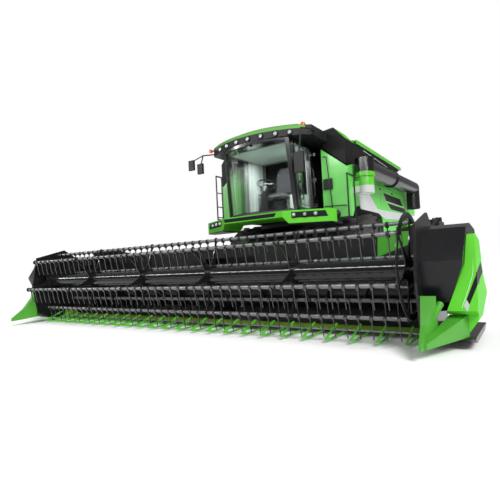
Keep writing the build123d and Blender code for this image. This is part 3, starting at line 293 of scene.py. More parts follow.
def makeFinish(name, look, painted=()):
    material, tree, shader, place = startMaterial(name)
    grain = useGroup(tree, "grain", {"Place": place, "Scale": look["grain"], "Softness": look["softness"]})
    wear = useGroup(tree, "wear", {"Place": place, "Width": look["edge"], "Amount": look["wear"]})
    dust = useGroup(tree, "dust", {"Place": place, "Amount": look["dust"], "Reach": look["dustReach"]})
    paint = mixColour(tree, grain["Variation"], (*look["colour"], 1), (*look["second"], 1))
    parts = addNode(tree, "ShaderNodeSeparateXYZ", {0: place}).outputs
    for zoneColour, axes, outline, *span in painted:
        mask = polygonMask(tree, parts[axes[0]], parts[axes[1]], outline)
        for low, high in span:
            third = parts[next(axis for axis in "XYZ" if axis not in axes)]
            above, below = doMath(tree, "GREATER_THAN", third, low), doMath(tree, "LESS_THAN", third, high)
            mask = doMath(tree, "MULTIPLY", mask, doMath(tree, "MULTIPLY", above, below))
        paint = mixColour(tree, mask, paint, zoneColour)
    worn = mixColour(tree, wear["Mask"], paint, (*look["bare"], 1))
    feed(tree, mixColour(tree, dust["Mask"], worn, dustColour), shader.inputs["Base Color"])
    dustRough = doMath(tree, "MULTIPLY", dust["Mask"], look["dustRough"])
    rougher = doMath(tree, "ADD", look["rough"], dustRough, clamp=True)
    varied = doMath(tree, "ADD", rougher, doMath(tree, "MULTIPLY", grain["Height"], look["grainRough"]))
    feed(tree, varied, shader.inputs["Roughness"])
    shader.inputs["Metallic"].default_value = look["metal"]
    shader.inputs["Specular IOR Level"].default_value = look["gloss"]
    shader.inputs["Coat Weight"].default_value = look["coat"]
    shader.inputs["Coat Roughness"].default_value = look["coatRough"]
    addBump(tree, shader, grain["Height"], look["bump"], look["bumpDepth"], wear["Rounded"])
    return material


for name, look in finishes.items():
    materials[name] = makeFinish(name, plainFinish | look)
for name, (base, painted) in paintedNodes.items():
    materials[name] = makeFinish(name, plainFinish | finishes[base], painted)

rubberLook = {"colour": (0.017, 0.017, 0.018), "second": (0.028, 0.027, 0.027), "grain": 160.0,
              "softness": 0.3, "dust": 0.55, "dustReach": 2.4, "grainRange": (0.3, 0.7),
              "rough": (0.62, 0.85), "bump": 0.25, "bumpDepth": 0.003}


def makeRubber(name, look):
    material, tree, shader, place = startMaterial(name)
    grain = useGroup(tree, "grain", {"Place": place, "Scale": look["grain"], "Softness": look["softness"]})
    dust = useGroup(tree, "dust", {"Place": place, "Amount": look["dust"], "Reach": look["dustReach"]})
    rubber = mixColour(tree, grain["Variation"], (*look["colour"], 1), (*look["second"], 1))
    feed(tree, mixColour(tree, dust["Mask"], rubber, dustColour), shader.inputs["Base Color"])
    feed(tree, ramp(tree, grain["Height"], *look["grainRange"], *look["rough"]), shader.inputs["Roughness"])
    addBump(tree, shader, grain["Height"], look["bump"], look["bumpDepth"])
    return material


glassLook = {"colour": (0.86, 0.93, 0.9), "smear": (3.2, 6.0, 0.65), "smearRange": (0.4, 0.75),
             "rough": (0.0, 0.06), "bending": 1.12, "alpha": 0.3}


def makeGlass(name, look):
    material, tree, shader, place = startMaterial(name)
    smear = ramp(tree, noise(tree, place, *look["smear"]), *look["smearRange"], *look["rough"])
    feed(tree, smear, shader.inputs["Roughness"])
    shader.inputs["Base Color"].default_value = (*look["colour"], 1)
    shader.inputs["Transmission Weight"].default_value = 1.0
    shader.inputs["IOR"].default_value = look["bending"]
    shader.inputs["Alpha"].default_value = look["alpha"]
    return material


plainLens = {"ribs": 700.0, "groove": 0.75, "rough": 0.12, "bump": 0.25, "bumpDepth": 0.001}
lenses = {"lampLens": {"colour": (0.5, 0.52, 0.54), "glow": 0.12, "rough": 0.08},
          "amberLens": {"colour": (0.85, 0.09, 0.006), "glow": 0.12},
          "redLens": {"colour": (0.6, 0.01, 0.01), "glow": 0.2}}


def makeLens(name, look):
    # ribs run up and down the lens: the sine of X times the ribs' number, darker in the grooves
    material, tree, shader, place = startMaterial(name)
    across = addNode(tree, "ShaderNodeSeparateXYZ", {0: place}).outputs["X"]
    ribs = doMath(tree, "SINE", doMath(tree, "MULTIPLY", across, look["ribs"]))
    darker = [part * look["groove"] for part in look["colour"]]
    colours = mixColour(tree, ramp(tree, ribs, -1.0, 1.0), (*look["colour"], 1), (*darker, 1))
    feed(tree, colours, shader.inputs["Base Color"])
    shader.inputs["Roughness"].default_value = look["rough"]
    shader.inputs["Metallic"].default_value = 0.0
    shader.inputs["Coat Weight"].default_value = 1.0
    shader.inputs["Emission Color"].default_value = (*look["colour"], 1)
    shader.inputs["Emission Strength"].default_value = look["glow"]
    addBump(tree, shader, ribs, look["bump"], look["bumpDepth"])
    return material


weaveLook = {"colour": (0.022, 0.023, 0.026), "second": (0.05, 0.05, 0.054), "threads": 1500.0,
             "patch": (9.0, 4.0, 0.55), "rough": 0.88, "sheen": 0.25, "bump": 0.3, "bumpDepth": 0.001}


def makeWeave(name, look):
    # crossed sine waves a few millimetres apart
    material, tree, shader, place = startMaterial(name)
    parts = addNode(tree, "ShaderNodeSeparateXYZ", {0: place}).outputs
    warp = doMath(tree, "SINE", doMath(tree, "MULTIPLY", parts["X"], look["threads"]))
    rise = doMath(tree, "ADD", parts["Z"], parts["Y"])
    weft = doMath(tree, "SINE", doMath(tree, "MULTIPLY", rise, look["threads"]))
    thread = ramp(tree, doMath(tree, "MULTIPLY", warp, weft), -1.0, 1.0)
    share = doMath(tree, "MULTIPLY", thread, noise(tree, place, *look["patch"]))
    woven = mixColour(tree, share, (*look["colour"], 1), (*look["second"], 1))
    feed(tree, woven, shader.inputs["Base Color"])
    shader.inputs["Roughness"].default_value = look["rough"]
    shader.inputs["Sheen Weight"].default_value = look["sheen"]
    addBump(tree, shader, thread, look["bump"], look["bumpDepth"])
    return material


materials["tyreRubber"] = makeRubber("tyreRubber", rubberLook)
materials["cabGlass"] = makeGlass("cabGlass", glassLook)
for name, look in lenses.items():
    materials[name] = makeLens(name, plainLens | look)
materials["seatWeave"] = makeWeave("seatWeave", weaveLook)
print("materials made")

nodeFinish = {
    "greenPaint": ["tank_cover_left", "tank_cover_right", "rear_hood", "crop_lifters"],
    "noseGreen": ["divider_noses"],
    "crestGreen": ["roof_crest"],
    "tubeBlack": ["reel_core"],
    "sidePaint": ["side_panel_left", "side_panel_right"],
    "tankPaint": ["grain_tank"],
    "headerPaint": ["header_frame"],
    "coverPaint": ["end_covers"],
    "apronPaint": ["cab_apron"],
    "turretPaint": ["unload_turret"],
    "augerPaint": ["unload_auger"],
    "guardBlack": ["end_guards"],
    "glossBlack": ["cab_shell", "cab_door"] + [f"reel_bat_{k}" for k in range(1, 7)],
    "blackPaint": ["engine_deck", "chopper_housing", "walkway", "ladder", "dust_screen", "feeder_house",
                   "intake_auger", "reel_arms", "reel_ring"],
    "framePaint": ["chassis_frame", "thresher_housing", "engine_block", "front_axle", "rear_axle",
                   "knuckle_left", "knuckle_right", "lift_barrels"],
    "rimPaint": [f"{axle}_rim_{side}" for axle in ("front", "rear") for side in ("left", "right")],
    "tyreRubber": [f"{axle}_tyre_{side}" for axle in ("front", "rear") for side in ("left", "right")],
    "bareSteel": ["lift_rods", "knife_bar"],
    "darkPlastic": ["mirrors", "driver_controls"],
    "roofPaint": ["roof_band"],
    "cabGlass": ["cab_glass", "door_glass"],
    "lampLens": ["lamps"],
    "amberLens": ["beacons"],
    "seatWeave": ["cab_seat"],
}
for finish, names in nodeFinish.items():
    for name in names:
        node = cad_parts[name]
        node.data.materials.clear()
        node.data.materials.append(materials[finish])
print("finishes given to the CAD nodes")

# what the new pieces share: the distance within which corners merge, the angle of sharp edges and the bevel's
# steps
pieceLook = {"mergeWithin": 1e-6, "sharpAngle": 35, "bevelSteps": 2}
alongX, alongY, alongZ = range(3)


# forms are pairs of corner array and face list; every closed form is merged and turned outwards
def makePiece(name, forms, body, finish, bevel=0.0, smooth=True, stands=()):
    corners, faces, start = [], [], 0
    for formCorners, formFaces in forms:
        corners.append(np.asarray(formCorners, float))
        faces += [tuple(int(k) + start for k in face) for face in formFaces]
        start += len(formCorners)
    mesh = bpy.data.meshes.new(name)
    mesh.from_pydata(np.concatenate(corners).tolist(), [], faces)
    shell = bmesh.new()
    shell.from_mesh(mesh)
    bmesh.ops.remove_doubles(shell, verts=shell.verts, dist=pieceLook["mergeWithin"])
    bmesh.ops.recalc_face_normals(shell, faces=shell.faces)
    shell.to_mesh(mesh)
    shell.free()
    mesh.materials.append(materials[finish])
    piece = bpy.data.objects.new(name, mesh)
    bpy.context.scene.collection.objects.link(piece)
    if smooth:
        mesh.shade_smooth()
        mesh.set_sharp_from_angle(angle=radians(pieceLook["sharpAngle"]))
    if bevel:
        edge = piece.modifiers.new("softEdge", "BEVEL")
        edge.width, edge.segments, edge.limit_method = bevel, pieceLook["bevelSteps"], "ANGLE"
    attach(piece, body)
    if stands:
        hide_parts(*stands)
    return piece


def gridFaces(rows, columns, closeRows=False):
    # quads of a grid of corners that are numbered row by row; the columns always close into rings
    rowNumbers = np.arange(rows if closeRows else rows - 1)
    row, column = np.meshgrid(rowNumbers, np.arange(columns), indexing="ij")
    nextRow, nextColumn = (row + 1) % rows, (column + 1) % columns
    quads = [row * columns + column, nextRow * columns + column,
             nextRow * columns + nextColumn, row * columns + nextColumn]
    return np.stack(quads, axis=-1).reshape(-1, 4).tolist()


def boxForm(low, high):
    # the eight corners are every choice of a low or a high X, Y and Z
    x, y, z = np.meshgrid(*zip(low, high), indexing="ij")
    corners = np.stack([x, y, z], axis=-1).reshape(-1, 3)
    return corners, [(0, 1, 3, 2), (4, 6, 7, 5), (0, 4, 5, 1), (2, 3, 7, 6), (0, 2, 6, 4), (1, 5, 7, 3)]


def plateForm(outline, axis, low, high):
    # an outline in the two other axes, drawn out along axis from low to high
    flat, count = np.asarray(outline, float), len(outline)
    corners = np.zeros((2 * count, 3))
    others = [k for k in range(3) if k != axis]
    corners[:, others] = np.concatenate([flat, flat])
    corners[:, axis] = np.repeat((low, high), count)
    sides = [(k, (k + 1) % count, count + (k + 1) % count, count + k) for k in range(count)]
    return corners, [tuple(range(count)), tuple(range(2 * count - 1, count - 1, -1))] + sides


def latheForm(profile, centre, axis, sides=24, start=0.0, closed=False):
    # radius r and distance a along the axis: the corner is centre + a * axis + r * (cos t, sin t) across it
    radius, along = np.asarray(profile, float).T
    turn = start + np.arange(sides) * 2 * pi / sides
    first, second = [k for k in range(3) if k != axis]
    corners = np.zeros((len(radius), sides, 3)) + np.asarray(centre, float)
    corners[..., first] += radius[:, None] * np.cos(turn)
    corners[..., second] += radius[:, None] * np.sin(turn)
    corners[..., axis] += along[:, None]
    faces = gridFaces(len(radius), sides, closeRows=closed)
    last = (len(radius) - 1) * sides
    caps = () if closed else [tuple(range(sides)), tuple(range(last, last + sides))]
    faces += [cap for cap, r in zip(caps, (radius[0], radius[-1])) if r > pieceLook["mergeWithin"]]
    return corners.reshape(-1, 3), faces


def tubeForm(path, radius, sides=10):
    # a circle carried along the path, square to the mean of the two directions that meet at each point
    points = np.asarray(path, float)
    steps = np.diff(points, axis=0)
    steps /= np.linalg.norm(steps, axis=1, keepdims=True)
    ahead = np.concatenate([steps[:1], steps[:-1] + steps[1:], steps[-1:]])
    ahead /= np.linalg.norm(ahead, axis=1, keepdims=True)
    guide = np.eye(3)[np.argmin(np.abs(ahead).max(axis=0))]
    across = np.cross(ahead, guide)
    across /= np.linalg.norm(across, axis=1, keepdims=True)
    upward = np.cross(ahead, across)
    turn = np.arange(sides) * 2 * pi / sides
    ring = across[:, None] * np.cos(turn)[:, None] + upward[:, None] * np.sin(turn)[:, None]
    corners = points[:, None] + radius * ring
    caps = [tuple(range(sides)), tuple(range((len(points) - 1) * sides, len(points) * sides))]
    return corners.reshape(-1, 3), gridFaces(len(points), sides) + caps


def roundPath(points, radius, steps=5):
    # each corner becomes a quadratic curve that starts and ends that far from it
    points = [Vector(point) for point in points]
    path = [points[0]]
    for before, corner, after in zip(points, points[1:], points[2:]):
        start = corner + (before - corner).normalized() * radius
        end = corner + (after - corner).normalized() * radius
        path += [start.lerp(corner, t).lerp(corner.lerp(end, t), t) for t in np.linspace(0, 1, steps)]
    return [tuple(point) for point in path + [points[-1]]]


def copyForms(form, places):
    corners, faces = form
    return [(np.asarray(corners) + np.asarray(place), faces) for place in places]


def mirrorX(form):
    corners, faces = form
    return np.asarray(corners) * (-1, 1, 1), faces


def bothSides(forms):
    return list(forms) + [mirrorX(form) for form in forms]


# lines on the body: outlines are Y and Z on the left side, mirrored to the right
trimLook = {
    "gap": 0.0003, "swooshThick": 0.004, "lineThick": 0.002, "tankThick": 0.003, "seamThick": 0.0012,
    "edge": 0.001, "latchSize": (0.016, 0.11, 0.034), "latchEdge": 0.006,
    "latches": [(0.86, 2.62), (1.9, 2.62), (3.5, 2.6), (4.2, 2.58), (1.5, 1.5)],
    "swoosh": [(-0.76, 2.56), (-0.21, 2.59), (0.62, 2.125), (2.85, 2.185), (4.38, 2.262), (4.38, 2.24),
               (2.86, 2.145), (2.66, 2.0), (1.27, 1.93), (1.02, 1.962), (0.70, 2.03), (-0.56, 2.03),
               (-0.61, 2.28)],
    "betweenLine": [(1.35, 2.375), (3.36, 2.375), (3.34, 2.392), (1.33, 2.392)],
    "tankLines": [[(-0.06, 3.392), (1.78, 3.322), (1.78, 3.334), (-0.06, 3.406)],
                  [(-0.09, 3.232), (1.49, 3.222), (1.49, 3.234), (-0.09, 3.246)]],
    "seams": [[(0.93, 2.16), (0.936, 2.16), (0.936, 3.03), (0.93, 3.03)],
              [(3.62, 2.19), (3.626, 2.19), (3.626, 2.98), (3.62, 2.98)],
              [(-1.15, 2.66), (0.93, 2.72), (0.93, 2.726), (-1.15, 2.666)],
              [(0.936, 2.73), (3.62, 2.70), (3.62, 2.706), (0.936, 2.736)]],
}


def makeTrim(look):
    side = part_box("side_panel_left")[1].x + look["gap"]
    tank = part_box("grain_tank")[1].x + look["gap"]
    lines = [plateForm(look["swoosh"], alongX, side, side + look["swooshThick"]),
             plateForm(look["betweenLine"], alongX, side, side + look["lineThick"])]
    makePiece("sideTrim", bothSides(lines), "chassis", "silverTrim", bevel=look["edge"])
    tankForms = [plateForm(line, alongX, tank, tank + look["tankThick"]) for line in look["tankLines"]]
    makePiece("tankTrim", bothSides(tankForms), "chassis", "silverTrim")
    seamForms = [plateForm(line, alongX, side, side + look["seamThick"]) for line in look["seams"]]
    makePiece("panelSeams", bothSides(seamForms), "chassis", "darkPlastic")
    places = [(side, y, z) for y, z in look["latches"]]
    latchForms = copyForms(boxForm((0, 0, 0), look["latchSize"]), places)
    makePiece("panelLatches", bothSides(latchForms), "chassis", "darkPlastic", bevel=look["latchEdge"])


makeTrim(trimLook)

# louvres and posts stand between the slats of the CAD grilles, in from the panel's outer face
grilleLook = {
    "backDepth": 0.0136, "faceDepth": 0.0028, "louvres": 9, "louvreHeight": 0.008, "louvreGap": 0.006,
    "posts": 6, "postInset": 0.2, "postWidth": 0.012, "postGap": 0.004, "postDepth": 0.003,
    "room": (0.02, 0.03),  # least room between a post's head and the opening's front and rear
    "openings": [((1.80, 2.22), (3.45, 2.22), (3.19, 2.35), (1.49, 2.35)),
                 ((1.41, 2.40), (3.05, 2.40), (2.76, 2.58), (1.19, 2.58))],
}


def makeGrilles(look):
    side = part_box("side_panel_left")[1].x
    back, face = side - look["backDepth"], side - look["faceDepth"]
    gap, width = look["postGap"], look["postWidth"]
    forms = []
    for lowFront, lowBack, highBack, highFront in look["openings"]:
        lean = highFront[0] - lowFront[0]
        for share in (np.arange(look["louvres"]) + 0.5) / look["louvres"]:
            z = lowFront[1] + (highFront[1] - lowFront[1]) * share
            y0 = lowFront[0] + lean * share + look["louvreGap"]
            y1 = lowBack[0] + (highBack[0] - lowBack[0]) * share - look["louvreGap"]
            forms.append(boxForm((back, y0, z), (face, y1, z + look["louvreHeight"])))
        for y in np.linspace(lowFront[0] + look["postInset"], lowBack[0] - look["postInset"], look["posts"]):
            outline = [(y, lowFront[1] + gap), (y + width, lowFront[1] + gap),
                       (y + width + lean, highFront[1] - gap), (y + lean, highFront[1] - gap)]
            if highFront[0] + look["room"][0] < y + lean < highBack[0] - look["room"][1]:
                forms.append(plateForm(outline, alongX, back, face - look["postDepth"]))
    makePiece("grilleLouvres", bothSides(forms), "chassis", "darkPlastic", smooth=False)


makeGrilles(grilleLook)
print("side trim and grilles made")

# bezels and clear domes of the round lamps, which stand out from the roof's edge and the apron
lampLook = {"rim": [(-0.004, -0.002), (-0.004, -0.014), (0.002, -0.017), (0.011, -0.010), (0.011, 0.018),
                    (0.0005, 0.018), (0.0005, -0.002)],  # radius beyond the lamp's, and Y
            "domeFoot": [(-0.0045, -0.0005), (-0.006, -0.004)], "domeShare": 0.6, "domeY": (-0.0103, -0.013),
            "standOut": 0.0142, "sides": 32,
            "roofX": (0, 0.3, -0.3, 0.6, -0.6, 0.86, -0.86), "roofZ": 3.485, "roofRadius": 0.048,
            "roofBow": 0.31, "roofHalf": 1.06,
            "apronX": (0.9, -0.9, 1.08, -1.08, 1.26, -1.26), "apronZ": 1.865, "apronRadius": 0.042,
            "apronFlat": 0.7, "apronSlope": 0.44 / 0.82}


def lampPlaces(look):
    # the roof's front is an arc through its bow and half width, and the apron's ends slope straight back
    arcRadius = (look["roofHalf"] ** 2 + look["roofBow"] ** 2) / (2 * look["roofBow"])
    roofX, apronX = np.array(look["roofX"]), np.array(look["apronX"])
    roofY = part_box("roof_band")[0].y + arcRadius - np.sqrt(arcRadius ** 2 - roofX ** 2)
    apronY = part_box("cab_apron")[0].y + (np.abs(apronX) - look["apronFlat"]) * look["apronSlope"]
    roof = [(x, y, look["roofZ"], look["roofRadius"]) for x, y in zip(roofX, roofY)]
    return roof + [(x, y, look["apronZ"], look["apronRadius"]) for x, y in zip(apronX, apronY)]


def makeLamps(look):
    rims, domes = [], []
    shoulderY, topY = look["domeY"]
    for x, y, z, r in lampPlaces(look):
        place = (x, y - look["standOut"], z)
        rim = [(r + out, along) for out, along in look["rim"]]
        rims.append(latheForm(rim, place, alongY, look["sides"], closed=True))
        foot = [(r + out, along) for out, along in look["domeFoot"]]
        dome = foot + [(r * look["domeShare"], shoulderY), (0.0, topY)]
        domes.append(latheForm(dome, place, alongY, look["sides"]))
    makePiece("lampBezels", rims, "chassis", "darkPlastic")
    makePiece("lampDomes", domes, "chassis", "lampLens")


makeLamps(lampLook)

# tail lamps on the hood, and a turn lamp on a stem at the roof's right end
signalLook = {"tailLamps": [((-1.12, 5.236, 1.84), (-0.92, 5.247, 1.94)),
                            ((0.92, 5.236, 1.84), (1.12, 5.247, 1.94))],
              "turnLamp": ((-1.305, -2.0, 3.52), (-1.245, -1.94, 3.60)),
              "stem": ((-1.255, -1.968, 3.545), (-1.15, -1.945, 3.57)),
              "tailEdge": 0.004, "turnEdge": 0.012, "stemEdge": 0.003}


def makeSignals(look):
    tails = [boxForm(*corners) for corners in look["tailLamps"]]
    makePiece("tailLamps", tails, "chassis", "redLens", bevel=look["tailEdge"])
    makePiece("turnLamps", [boxForm(*look["turnLamp"])], "chassis", "amberLens", bevel=look["turnEdge"])
    makePiece("turnLampStems", [boxForm(*look["stem"])], "chassis", "darkPlastic", bevel=look["stemEdge"])


makeSignals(signalLook)

# nuts and hub caps: profiles are radius and distance outwards, discX and capX start from the wheel's middle
wheelLook = {
    "nutRadius": 0.019, "nutDepth": 0.026, "nutSides": 6, "studRadius": 0.009, "studDepth": 0.04,
    "sunk": 0.004, "chamfer": 0.002,
    "cap": [(0.105, -0.002), (0.105, 0.010), (0.096, 0.018), (0.05, 0.024), (0.048, 0.034), (0.0, 0.036)],
    "ring": [(0.126, -0.001), (0.118, 0.008), (0.112, 0.008), (0.108, -0.001)], "capSides": 40,
    "axles": {"front": {"discX": 0.0225, "circle": 0.20, "nuts": 10, "capX": 0.105},
              "rear": {"discX": 0.0185, "circle": 0.19, "nuts": 8, "capX": 0.072}},
}


def makeWheels(look):
    for axle, row in look["axles"].items():
        low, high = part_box(f"{axle}_tyre_left")
        x, y, z = (low + high) / 2
        face, circle = row["discX"], row["circle"]
        nut = [(0.0, face - look["sunk"]), (look["nutRadius"], face - look["sunk"]),
               (look["nutRadius"], face + look["nutDepth"]),
               (look["studRadius"], face + look["nutDepth"] + look["chamfer"]),
               (look["studRadius"], face + look["studDepth"]), (0.0, face + look["studDepth"])]
        turns = np.arange(row["nuts"]) * 2 * pi / row["nuts"]
        forms = []
        for turn in turns:
            place = (x, y + circle * sin(turn), z + circle * cos(turn))
            forms.append(latheForm(nut, place, alongX, look["nutSides"], start=turn))
        hub = (x + row["capX"], y, z)
        forms += [latheForm(look["cap"], hub, alongX, look["capSides"]),
                  latheForm(look["ring"], hub, alongX, look["capSides"], closed=True)]
        for side, placed in (("left", forms), ("right", [mirrorX(form) for form in forms])):
            makePiece(f"{axle}_wheelNuts_{side}", placed, f"{axle}_wheel_{side}", "bareSteel")


makeWheels(wheelLook)
print("lamps and wheel fittings made")

# reel: grey sleeves lie on the bats between the tine clips and the spiders
batLook = {"bats": 6, "circle": 0.54, "firstTurn": 45, "radius": 0.0236, "endStep": 0.002, "endLength": 0.004,
           "pitch": 0.15, "clips": 48, "clipGap": 0.018, "reach": 3.47, "spans": 5, "spiderGap": 0.010,
           "clipRoom": 0.03, "shortest": 0.06, "sides": 12}


def makeSleeves(look):
    low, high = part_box("reel_core")
    _, coreY, coreZ = (low + high) / 2
    r, end, step = look["radius"], look["endLength"], look["endStep"]
    clips = [look["pitch"] * (k - (look["clips"] - 1) / 2) for k in range(look["clips"])]
    spiders = [look["reach"] * (2 * k / look["spans"] - 1) for k in range(look["spans"] + 1)]
    clips = [x for x in clips if abs(x) < look["reach"]]
    clips = [x for x in clips if min(abs(x - spider) for spider in spiders) > look["clipRoom"]]
    stops = sorted([(x, look["clipGap"]) for x in clips] + [(x, look["spiderGap"]) for x in spiders])
    pairs = [(one, other) for one, other in zip(stops, stops[1:]) if other[0] - one[0] > look["shortest"]]
    spans = [(x0 + gap0, x1 - gap1) for (x0, gap0), (x1, gap1) in pairs]
    profiles = [[(r - step, x0), (r, x0 + end), (r, x1 - end), (r - step, x1)] for x0, x1 in spans]
    for k in range(look["bats"]):
        turn = radians(look["firstTurn"] + 360 / look["bats"] * k)
        centre = (0, coreY - look["circle"] * sin(turn), coreZ + look["circle"] * cos(turn))
        forms = [latheForm(profile, centre, alongX, look["sides"]) for profile in profiles]
        makePiece(f"batSleeves_{k + 1}", forms, f"bat_{k + 1}", "batGrey")


makeSleeves(batLook)

# knife: riveted sections side by side on the bar; the section is X and Y, the rivet radius and height
knifeLook = {"pitch": 0.0762, "reach": 3.55, "gap": 0.0004, "thick": 0.0028, "rivetY": -4.124,
             "section": [(-0.034, -4.118), (0.034, -4.118), (0.034, -4.135), (0.008, -4.192),
                         (-0.008, -4.192), (-0.034, -4.135)],
             "rivet": [(0.007, 0.0), (0.006, 0.003), (0.0, 0.0035)], "rivetSides": 8}


def makeKnife(look):
    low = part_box("knife_bar")[1].z + look["gap"]
    high = low + look["thick"]
    count = int(2 * look["reach"] / look["pitch"])
    places = [(look["pitch"] * (k - (count - 1) / 2), 0, 0) for k in range(count)]
    section = plateForm(look["section"], alongZ, low, high)
    rivet = latheForm(look["rivet"], (0, look["rivetY"], high), alongZ, look["rivetSides"])
    forms = copyForms(section, places) + copyForms(rivet, places)
    makePiece("knifeSections", forms, "header", "bareSteel", smooth=False)


makeKnife(knifeLook)

# end covers: a bead runs down the front face, coloured pale green as a painted highlight along the crease, Y
# = topY - slope * (topZ - Z); plates close the back corners
beadLook = {"topY": -4.555, "topZ": 1.131, "slope": 0.145, "radius": 0.005, "bend": 0.05, "sides": 8,
            "path": [(4.112, 1.12), (4.101, 0.944), (4.09, 0.763), (4.042, 0.605), (3.977, 0.43)],
            "cornerPlate": ((3.601, -3.45, 0.85), (3.6245, -3.07, 1.40))}


def makeBeads(look):
    path = [(x, look["topY"] - look["slope"] * (look["topZ"] - z), z) for x, z in look["path"]]
    bead = tubeForm(roundPath(path, look["bend"]), look["radius"], look["sides"])
    # the bead's pale green is a painted highlight along the crease
    makePiece("coverBeads", bothSides([bead]), "header", "creaseHighlightGreen")
    makePiece("cornerPlates", bothSides([boxForm(*look["cornerPlate"])]), "header", "blackPaint")


makeBeads(beadLook)
print("reel sleeves, knife sections and beads made")

# seat: the padded parts swell under cloth pressure, and no point moves further than the cap
seatLook = {
    "voxel": 0.006, "pressure": 4.0, "frames": 20, "quality": 5, "cap": 0.016,
    "cushion": [(-0.21, -1.425), (0.21, -1.425), (0.225, -1.38), (0.215, -1.0), (0.19, -0.985),
                (-0.19, -0.985), (-0.215, -1.0), (-0.225, -1.38)],
    "cushionZ": (2.395, 2.468), "cushionFill": 0.75, "cushionPleats": (-1.33, -1.06, 5),
    "cushionGroove": (0.006, 0.007), "cushionFacing": (0, 0, 1),  # a groove is a pleat's width and depth
    "back": [(-0.19, 2.50), (0.19, 2.50), (0.215, 2.60), (0.215, 2.92), (0.17, 3.06), (0.10, 3.13),
             (-0.10, 3.13), (-0.17, 3.06), (-0.215, 2.92), (-0.215, 2.60)],
    "backY": -0.965, "backThick": 0.075, "backFill": 0.7, "backPleats": (2.60, 3.0, 8),
    "backGroove": (0.007, 0.008), "backFacing": (0, -1, 0.1), "lean": 0.13, "leanFrom": 2.48,
    "pipingZ": 2.432, "pipingY": -0.928, "pipingRadius": 0.0035, "pipingBend": 0.03, "pipingSides": 8,
}


def applyAll(piece):
    made = piece.evaluated_get(bpy.context.evaluated_depsgraph_get())
    old, baked = piece.data, bpy.data.meshes.new_from_object(made)
    piece.modifiers.clear()
    piece.data = baked
    baked.name = piece.name
    bpy.data.meshes.remove(old)


def makePad(name, form, look):
    # the outline form is remeshed, blown up as cloth, capped, applied and smoothed once
    pad = makePiece(name, [form], "chassis", "seatWeave")
    scene = bpy.context.scene
    remesh = pad.modifiers.new("even", "REMESH")
    remesh.mode, remesh.voxel_size, remesh.use_smooth_shade = "VOXEL", look["voxel"], True
    applyAll(pad)
    count = len(pad.data.vertices)
    rest = np.empty(count * 3)
    pad.data.vertices.foreach_get("co", rest)
    rest = rest.reshape(-1, 3)
    cloth = pad.modifiers.new("swell", "CLOTH")
    cloth.settings.use_pressure = True
    cloth.settings.uniform_pressure_force = look["pressure"]
    cloth.settings.effector_weights.gravity = 0
    cloth.settings.quality = look["quality"]
    cloth.point_cache.frame_start, cloth.point_cache.frame_end = 1, look["frames"]
    for step in range(1, look["frames"] + 1):
        scene.frame_set(step)
    moved = pad.evaluated_get(bpy.context.evaluated_depsgraph_get()).to_mesh()
    swollen = np.empty(count * 3)
    moved.vertices.foreach_get("co", swollen)
    shift = swollen.reshape(-1, 3) - rest
    length = np.linalg.norm(shift, axis=1, keepdims=True)
    shift *= np.minimum(1.0, look["cap"] / np.maximum(length, 1e-9))
    pad.modifiers.remove(cloth)
    pad.data.vertices.foreach_set("co", (rest + shift).ravel())
    scene.frame_set(1)
    smooth = pad.modifiers.new("soft", "SUBSURF")
    smooth.levels = smooth.render_levels = 1
    applyAll(pad)
    pad.data.shade_smooth()
    print(name, "swelled by", round(float(np.minimum(length, look["cap"]).max()) * 1000, 1), "mm at most")
    return pad


def pressPleats(pad, axis, lines, groove, outward):
    # each sewn channel pulls the near face in by depth * exp(-(distance / width) squared)
    width, depth = groove
    flat = np.empty(len(pad.data.vertices) * 3)
    pad.data.vertices.foreach_get("co", flat)
    corners = flat.reshape(-1, 3)
    normals = np.empty_like(flat)
    pad.data.vertices.foreach_get("normal", normals)
    facing = np.clip(normals.reshape(-1, 3) @ np.asarray(outward), 0, 1)
    pull = sum(np.exp(-((corners[:, axis] - line) / width) ** 2) for line in np.linspace(*lines))
    corners -= np.asarray(outward) * (depth * pull * facing)[:, None]
    pad.data.vertices.foreach_set("co", corners.ravel())
    pad.data.update()


def seamForm(pad, path, look):
    # the path is drawn onto the swollen cloth, point by point
    points = roundPath(path, look["pipingBend"])
    fine = [Vector(a).lerp(Vector(b), t) for a, b in zip(points, points[1:]) for t in (0.0, 0.5)]
    drawn = [tuple(pad.closest_point_on_mesh(point)[1]) for point in fine + [fine[0]]]
    return tubeForm(drawn, look["pipingRadius"], look["pipingSides"])


def makeSeat(look):
    flat = plateForm(look["cushion"], alongZ, *look["cushionZ"])
    cushion = makePad("seatCushion", flat, look)
    pressPleats(cushion, alongY, look["cushionPleats"], look["cushionGroove"], look["cushionFacing"])
    corners, faces = plateForm(look["back"], alongY, 0.0, look["backThick"])
    corners[:, 1] += look["backY"] + (corners[:, 2] - look["leanFrom"]) * look["lean"]
    back = makePad("seatBack", (corners, faces), look)
    pressPleats(back, alongZ, look["backPleats"], look["backGroove"], look["backFacing"])
    rim, hem = look["cushion"] + look["cushion"][:1], look["back"] + look["back"][:1]
    rim = [(x, y, look["pipingZ"]) for x, y in rim]
    hem = [(x, look["pipingY"] + (z - look["leanFrom"]) * look["lean"], z) for x, z in hem]
    piping = [seamForm(cushion, rim, look), seamForm(back, hem, look)]
    makePiece("seatPiping", piping, "chassis", "greyPlastic")


makeSeat(seatLook)

